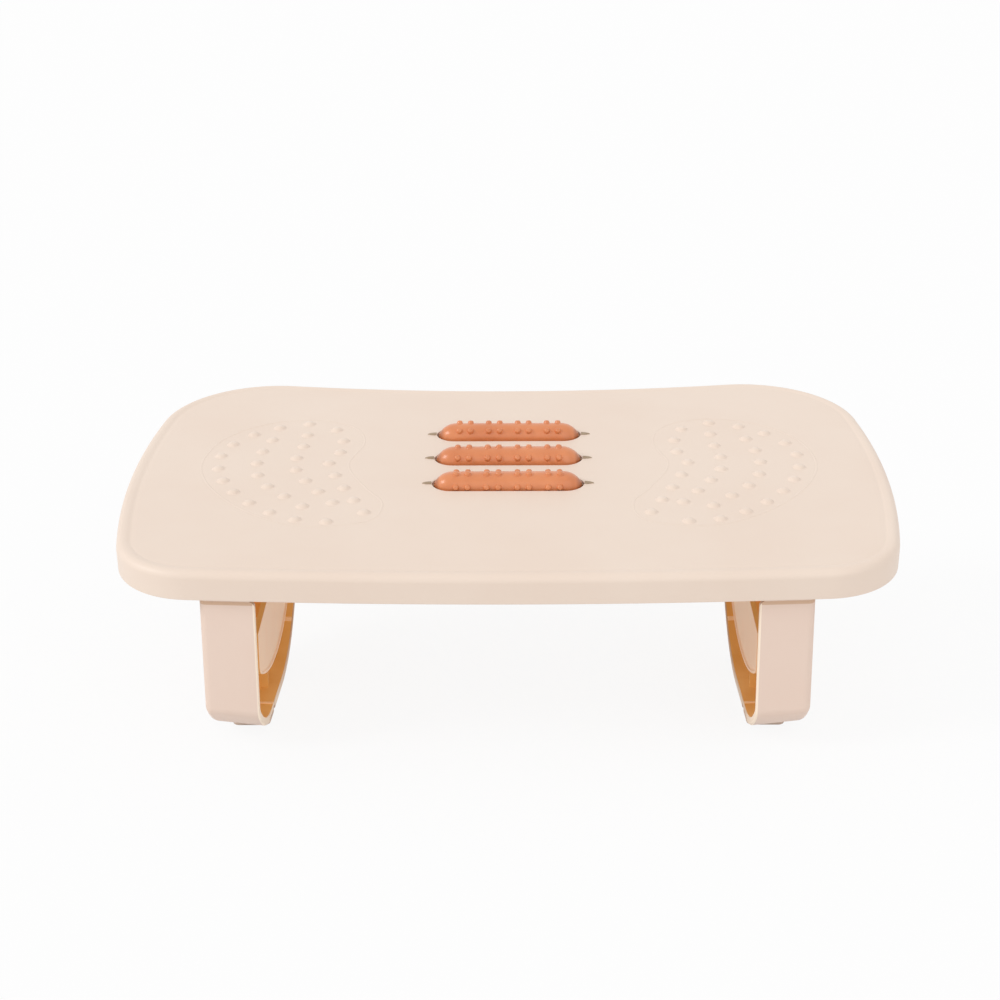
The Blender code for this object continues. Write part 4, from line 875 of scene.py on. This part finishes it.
# Painted highlight and shade: the leg's inner rim is a pale cream copy of the plastic with a painted glow,
# turning browner towards the back.
RIM_HIGHLIGHT_PALE = (0.90, 0.77, 0.63)
RIM_HIGHLIGHT_DEEP = (0.88, 0.74, 0.59)
RIM_SHADE_BROWN = (0.52, 0.28, 0.13, 1)
rim_highlight_plastic, tree, shader, surface = plastic("leg_rim_painted_highlight", RIM_HIGHLIGHT_PALE, RIM_HIGHLIGHT_DEEP, 0.5, 0.6, 0.02 * MM)
local = node(tree, "ShaderNodeTexCoord").outputs["Object"]
away = node(tree, "ShaderNodeSeparateXYZ", Vector=local).outputs["Y"]
rim_shade_share = spread(tree, away, -45 * MM, 10 * MM, 0, 0.8)
glow = colour_mix(tree, rim_shade_share, surface.outputs["Colour"], RIM_SHADE_BROWN)
tree.links.new(glow, shader.inputs["Base Color"])
painted_glow(tree, shader, glow, 0.14)

# Painted light: the two thin cross ridges inside each leg are a paler, lit orange copy of the plastic with a
# painted glow.
LEDGE_PALE = (0.90, 0.64, 0.38)
LEDGE_DEEP = (0.86, 0.58, 0.32)
ledge_plastic, tree, shader, surface = plastic("leg_ledge", LEDGE_PALE, LEDGE_DEEP, 0.5, 0.6, 0.02 * MM)
painted_glow(tree, shader, surface.outputs["Colour"], 0.18)


def leg(side, side_name):
    work = bmesh.new()
    top = PLATE_UNDER - GAP
    rings = []
    for inset, drop in quarter(LEG_EDGE, 8):
        x = LEG_OUTER - drop
        fall = RIM_FALL * drop / (LEG_OUTER - LEG_INNER)
        rings.append(leg_ring(side, x, (x - LEG_INNER) * LEG_DRAFT + inset, top, fall))
    for inset, drop in reversed(quarter(RIM_EDGE, RIM_STEPS)):
        rings.append(leg_ring(side, LEG_INNER + drop, inset, top, RIM_FALL))
    outer_rings = len(rings)
    for inset, drop in quarter(EDGE, RIM_STEPS):
        rings.append(leg_ring(side, LEG_INNER + drop, LEG_WALL - inset, top - LEG_WALL))
    for inset, drop in reversed(quarter(EDGE, 3)):
        x = WEB_FACE - drop
        rings.append(leg_ring(side, x, LEG_WALL + (x - LEG_INNER) * LEG_DRAFT + inset, top - LEG_WALL))
    rows = loft(work, rings, OUTSIDE, INSIDE)
    inner = {vert for row in rows[outer_rings + RIM_STEPS:] for vert in row}
    rim_rows = rows[outer_rings - RIM_STEPS - 1:outer_rings + RIM_STEPS + 1]
    rim = {vert for row in rim_rows for vert in row}
    for face in work.faces:
        if all(vert in inner for vert in face.verts):
            face.material_index = INSIDE
        elif all(vert in rim for vert in face.verts):
            face.material_index = RIM
    item = solid(f"{side_name}_leg_tray", work, FLOOR_FRAME)
    for material in (leg_plastic, amber_plastic, rim_highlight_plastic, ledge_plastic):
        item.data.materials.append(material)

    rounding_at = (LEG_INNER + TOP_ROUNDING, WALL_TOP - TOP_ROUNDING)
    inner_end = LEG_INNER - 24 * MM
    outline = [(inner_end, 3 * MM), (WEB_FACE, 3 * MM), (WEB_FACE, WALL_TOP)]
    outline += bend(rounding_at, TOP_ROUNDING, math.pi / 2, math.pi, 12)
    outline += [(inner_end, WALL_TOP - TOP_ROUNDING)]
    opening = bmesh.new()
    slope_prism(opening, side, outline, -DECK_DEPTH, 2 * DECK_DEPTH)
    combine(item, opening, SLOPE, "DIFFERENCE")

    web = WEB_FACE + LEG_WALL / 2
    lug_top = LUG_RADIUS - HINGE_DROP
    outline = [(web, lug_top), (web, lug_top - LUG_ROOT)]
    outline += bend((HINGE_X, -HINGE_DROP), LUG_RADIUS, 1.5 * math.pi, 0.5 * math.pi, 24)
    lugs = bmesh.new()
    for low_v in LUGS_AT:
        slope_prism(lugs, side, outline, low_v, low_v + KNUCKLE, INSIDE)
    combine(item, lugs, SLOPE, "UNION")

    post = ((3.3 * MM, BEHIND_COVER), (3.5 * MM, BEHIND_COVER + 0.2 * MM), (3.7 * MM, web))
    posts = bmesh.new()
    post_holes = bmesh.new()
    for y, z in COVER_SCREWS:
        place = along((0, y, z), (side, 0, 0))
        turned(posts, post, place, 32, INSIDE)
        turned(post_holes, ((SCREW_HOLE, BEHIND_COVER - LEG_WALL), (SCREW_HOLE, WEB_FACE)), place, 24, INSIDE)
    combine(item, posts, FLOOR_FRAME, "UNION")

    rib_y = LEG_SHAPE["toe"] + (LEG_SHAPE["heel"] - LEG_SHAPE["toe"]) * 2 / 3
    floor_radius = LEG_SHAPE["rear_radius"] - LEG_WALL
    ledge_z = HEEL[1] - math.sqrt(floor_radius**2 - (LEDGE_AT - HEEL[0]) ** 2)
    ridge_start = LEG_INNER + 0.6 * MM
    # The cross ridges take the painted light of LEDGE; the floor rib takes the inside's painted amber.
    ridges = (
        (rib_y, 0.75 * MM, BEHIND_COVER, IN_FLOOR, COVER_BOTTOM + 3 * MM, INSIDE),
        (LEDGE_AT, 0.9 * MM, ridge_start, ledge_z - 0.6 * MM, ledge_z + 1.3 * MM, LEDGE),
        (SILL_AT, 0.7 * MM, ridge_start, IN_FLOOR, STAND + LEG_WALL + 0.7 * MM, LEDGE),
    )
    ribs = bmesh.new()
    for y, half_width, start, low_z, high_z, paint in ridges:
        low_x, high_x = sorted((side * start, side * web))
        box(ribs, (low_x, y - half_width, low_z), (high_x, y + half_width, high_z), paint)
    combine(item, ribs, FLOOR_FRAME, "UNION")
    combine(item, post_holes, FLOOR_FRAME, "DIFFERENCE")

    recess = PAD_HALF_DEPTH + GAP
    heel_reach = recess + 2 * MM
    ends = (FOOT_AT["rear"][0] - heel_reach, FOOT_AT["rear"][0] + heel_reach)
    radius = LEG_SHAPE["rear_radius"] - LEG_WALL / 2
    turns = [1.5 * math.pi + math.asin((y - HEEL[0]) / radius) for y in ends]
    outline = [(ends[0], STAND), (ends[1], STAND)] + bend(HEEL, radius, turns[1], turns[0], 16)
    heel = bmesh.new()
    loft(heel, [[(side * x, y, z) for y, z in outline] for x in (LEG_INNER + 3 * MM, LEG_OUTER - 3 * MM)])
    combine(item, heel, FLOOR_FRAME, "UNION")

    bores = bmesh.new()
    place = along((side * HINGE_X, 0, -HINGE_DROP), (0, 1, 0))
    for low_v in LUGS_AT:
        turned(bores, ((HINGE_BORE, low_v - MM), (HINGE_BORE, low_v + KNUCKLE + MM)), place, 48, INSIDE)
    combine(item, bores, SLOPE, "DIFFERENCE")
    recesses = bmesh.new()
    for y, inner_x in FOOT_AT.values():
        low_x, high_x = sorted((side * (LEG_INNER - LEG_WALL), side * (inner_x + PAD_WIDTH + GAP)))
        box(recesses, (low_x, y - recess, -LEG_WALL), (high_x, y + recess, STAND + 1.4 * MM))
    combine(item, recesses, FLOOR_FRAME, "DIFFERENCE")
    finish(item, f"{side_name}_leg", "peach_plastic", f"leg_{side_name}")


for side, side_name in SIDES:
    leg(side, side_name)

# Cover plates. One pale tongue-shaped plate inside each leg, with a thin raised lip, on two sunk screws.
COVER_PEACH = (0.92, 0.65, 0.44)
COVER_DEEP = (0.90, 0.60, 0.38)
COVER_LIP = 1.2 * MM
LIP_FACE = COVER_FACE - 0.8 * MM
SUNK_HEIGHT = 1.1 * MM
cover_plastic, tree, shader, surface = plastic(
    "cover_peach", COVER_PEACH, COVER_DEEP, 0.44, 0.54, 0.02 * MM, flow_size=24.0
)
# Painted light: the plate glows faintly in its own colour.
painted_glow(tree, shader, surface.outputs["Colour"], 0.14)


def cover(side, side_name):
    def ring(x, inset):
        return [(side * x, y, z) for y, z in u_outline(COVER_SHAPE, inset, COVER_TOP - inset)]

    work = bmesh.new()
    rings = [ring(COVER_BACK, MOULD_EDGE), ring(COVER_BACK - MOULD_EDGE, 0)]
    rings += [ring(LIP_FACE + drop, inset) for inset, drop in reversed(quarter(MOULD_EDGE, 3))]
    rings += [ring(LIP_FACE + drop, COVER_LIP - inset) for inset, drop in quarter(MOULD_EDGE, 3)]
    rings += [ring(COVER_FACE - MOULD_EDGE, COVER_LIP), ring(COVER_FACE, COVER_LIP + MOULD_EDGE)]
    rows = loft(work, rings)
    # Painted light: the plate's edges take the leg's painted amber inside colour.
    sides = set(rows[0] + rows[1] + rows[2])
    for face in work.faces:
        if all(vert in sides for vert in face.verts):
            face.material_index = INSIDE
    item = solid(f"{side_name}_leg_cover_plate", work, FLOOR_FRAME)
    item.data.materials.append(cover_plastic)
    item.data.materials.append(amber_plastic)
    holes = bmesh.new()
    for y, z in COVER_SCREWS:
        turned(holes, ((SCREW_HOLE, LEG_INNER), (SCREW_HOLE, WEB_FACE)), along((0, y, z), (side, 0, 0)), 24)
    combine(item, holes, FLOOR_FRAME, "DIFFERENCE")
    finish(item, f"{side_name}_leg", "peach_plastic", f"leg_cover_{side_name}")
    for number, (y, z) in enumerate(COVER_SCREWS, 1):
        place = FLOOR_FRAME @ along((side * (COVER_FACE - GAP), y, z), (side, 0, 0))
        name = f"{side_name}_cover_cross_screw_{number}"
        screw(name, place, SUNK_HEIGHT, f"{side_name}_leg", f"cover_screw_{side_name}_{number}")


for side, side_name in SIDES:
    cover(side, side_name)

# Hinge pins. One steel rod through the lugs of each leg and the ears of its bracket, headed in front and kept
# behind by a push-on clip.
ROD_RADIUS = 2 * MM
ROD_HEAD = 3.5 * MM
ROD_HEAD_HEIGHT = 1.5 * MM
ROD_HEAD_ROUNDING = 0.6 * MM
ROD_POINT = 0.8 * MM
CLIP_RADIUS = 4 * MM
CLIP_BEVEL = 0.12 * MM
CLIP_START = REAR_LUG_END + GAP
CLIP_END = CLIP_START + 0.8 * MM
head_end = FRONT_LUG_AT - GAP
head_start = head_end - ROD_HEAD_HEIGHT
tail = CLIP_END + 1.2 * MM
rod_profile = [(ROD_RADIUS, head_start)]
for step in range(7):
    angle = math.pi / 2 * step / 6
    radius = ROD_HEAD - ROD_HEAD_ROUNDING * (1 - math.sin(angle))
    rod_profile.append((radius, head_start + ROD_HEAD_ROUNDING * (1 - math.cos(angle))))
rod_profile += [(ROD_HEAD, head_end), (ROD_RADIUS, head_end)]
rod_profile += [(ROD_RADIUS, tail - ROD_POINT), (ROD_RADIUS - ROD_POINT, tail)]
clip_profile = (
    (CLIP_RADIUS - CLIP_BEVEL, CLIP_START),
    (CLIP_RADIUS, CLIP_START + CLIP_BEVEL),
    (CLIP_RADIUS, CLIP_END - CLIP_BEVEL),
    (CLIP_RADIUS - CLIP_BEVEL, CLIP_END),
)
for side, side_name in SIDES:
    place = SLOPE @ along((side * HINGE_X, 0, -HINGE_DROP), (0, 1, 0))
    work = bmesh.new()
    turned(work, rod_profile, Matrix(), 48)
    rod = solid(f"{side_name}_hinge_rod", work, place)
    rod.data.materials.append(wire_steel)
    finish(rod, f"{side_name}_leg", "bright_steel", f"hinge_pin_{side_name}")
    work = bmesh.new()
    tube(work, clip_profile, ((HINGE_BORE, CLIP_START), (HINGE_BORE, CLIP_END)), Matrix(), 48)
    clip = solid(f"{side_name}_hinge_push_clip", work, place)
    clip.data.materials.append(zinc_steel)
    finish(clip, f"{side_name}_leg", "bright_steel", f"hinge_clip_{side_name}")

# Feet. Two pale rubber pads pressed into recesses under each leg, with grip grooves across the tread.
RUBBER = (0.86, 0.71, 0.60)
RUBBER_DEEP = (0.80, 0.64, 0.53)
PAD_HEIGHT = 3.3 * MM
PAD_CORNER = 3 * MM
PAD_EDGE = 0.6 * MM
TREAD_PITCH = 3.2 * MM
TREAD_HALF = 0.5 * MM
rubber = plastic("pale_rubber", RUBBER, RUBBER_DEEP, 0.72, 0.9, 0.06 * MM, 40.0, 900.0, 0.3)[0]


def pad_ring(side, inner, outer, y, inset, z):
    points = []
    for turn, (x, way) in enumerate(((outer, 1), (inner, 1), (inner, -1), (outer, -1))):
        centre_x = x + math.copysign(PAD_CORNER, inner + outer - 2 * x)
        centre_y = y + way * (PAD_HALF_DEPTH - PAD_CORNER)
        angle = turn * math.pi / 2
        points += bend((centre_x, centre_y), PAD_CORNER - inset, angle, angle + math.pi / 2, 8)
    return [(side * px, py, z) for px, py in points]


for side, side_name in SIDES:
    for end, (y, inner_x) in FOOT_AT.items():
        inner = inner_x + GAP
        outer = inner_x + PAD_WIDTH
        work = bmesh.new()
        rings = [pad_ring(side, inner, outer, y, inset, drop) for inset, drop in quarter(PAD_EDGE, 4)]
        loft(work, rings + [pad_ring(side, inner, outer, y, 0, PAD_HEIGHT)])
        pad = solid(f"{side_name}_{end}_foot_pad", work, FLOOR_FRAME)
        pad.data.materials.append(rubber)
        grooves = bmesh.new()
        low_x, high_x = sorted((side * (inner - MM), side * (outer + MM)))
        for step in (-2, -1, 0, 1, 2):
            at = y + step * TREAD_PITCH
            box(grooves, (low_x, at - TREAD_HALF, -MM), (high_x, at + TREAD_HALF, 0.5 * MM))
        combine(pad, grooves, FLOOR_FRAME, "DIFFERENCE")
        finish(pad, f"{side_name}_leg", "pale_rubber", f"foot_{side_name}_{end}")

# Studio: a plain white floor that keeps the soft shadow, a white surround, two broad soft lights and the
# camera, which stands a little above the front of the footrest.


def seen_directly(tree):
    """1 for rays that show the surface itself or its mirror image, 0 for rays that carry its light."""
    paths = node(tree, "ShaderNodeLightPath").outputs
    shown = calculate(tree, "MAXIMUM", paths["Is Camera Ray"], paths["Is Glossy Ray"])
    return calculate(tree, "MAXIMUM", shown, paths["Is Transmission Ray"])


scene = bpy.context.scene
scene.view_settings.view_transform = "Standard"
world = bpy.data.worlds.new("studio") if scene.world is None else scene.world
scene.world = world
world.use_nodes = True
tree = world.node_tree
tree.nodes.clear()
around = node(tree, "ShaderNodeBackground", Color=(1, 1, 1, 1), Strength=0.76)
white = node(tree, "ShaderNodeBackground", Color=(1, 1, 1, 1), Strength=1.0)
sky = node(tree, "ShaderNodeMixShader", Fac=seen_directly(tree), i1=around.outputs[0], i2=white.outputs[0])
tree.links.new(sky.outputs[0], node(tree, "ShaderNodeOutputWorld").inputs["Surface"])

floor_mesh = bmesh.new()
bmesh.ops.create_grid(floor_mesh, x_segments=1, y_segments=1, size=40)
floor = solid("studio_floor", floor_mesh, Matrix())
floor_paint = bpy.data.materials.new("floor_white")
floor_paint.use_nodes = True
tree = floor_paint.node_tree
tree.nodes.clear()
share = calculate(tree, "MULTIPLY", seen_directly(tree), 0.9)
matte = node(tree, "ShaderNodeBsdfDiffuse", Color=(0.9, 0.9, 0.9, 1))
glow = node(tree, "ShaderNodeEmission", Color=(1, 1, 1, 1), Strength=1.0)
mix = node(tree, "ShaderNodeMixShader", Fac=share, i1=matte.outputs[0], i2=glow.outputs[0])
tree.links.new(mix.outputs[0], node(tree, "ShaderNodeOutputMaterial").inputs["Surface"])
floor.data.materials.append(floor_paint)


def soft_light(name, towards, strength, width):
    lamp = bpy.data.lights.new(name, "SUN")
    lamp.energy = strength
    lamp.angle = math.radians(width)
    item = bpy.data.objects.new(name, lamp)
    item.rotation_euler = Vector(towards).to_track_quat("Z", "Y").to_euler()
    bpy.context.collection.objects.link(item)


soft_light("key_light", (-0.8, -0.25, 0.55), 0.85, 22)
soft_light("fill_light", (0.35, -0.8, 0.46), 0.3, 50)

camera = bpy.data.objects.new("camera", bpy.data.cameras.new("camera"))
camera.data.lens = 65.366
camera.data.sensor_width = 36
yaw, pitch, roll = -0.01406, 0.30416, -0.00671
ahead = Vector((math.sin(yaw) * math.cos(pitch), math.cos(yaw) * math.cos(pitch), -math.sin(pitch)))
right = Vector((math.cos(yaw), -math.sin(yaw), 0))
up = right.cross(ahead)
tilted_right = right * math.cos(roll) + up * math.sin(roll)
tilted_up = up * math.cos(roll) - right * math.sin(roll)
aimed = Matrix((tilted_right, tilted_up, -ahead)).transposed().to_4x4()
camera.matrix_world = Matrix.Translation((8.015 * MM, -867.202 * MM, 360.188 * MM)) @ aimed
bpy.context.collection.objects.link(camera)
scene.camera = camera
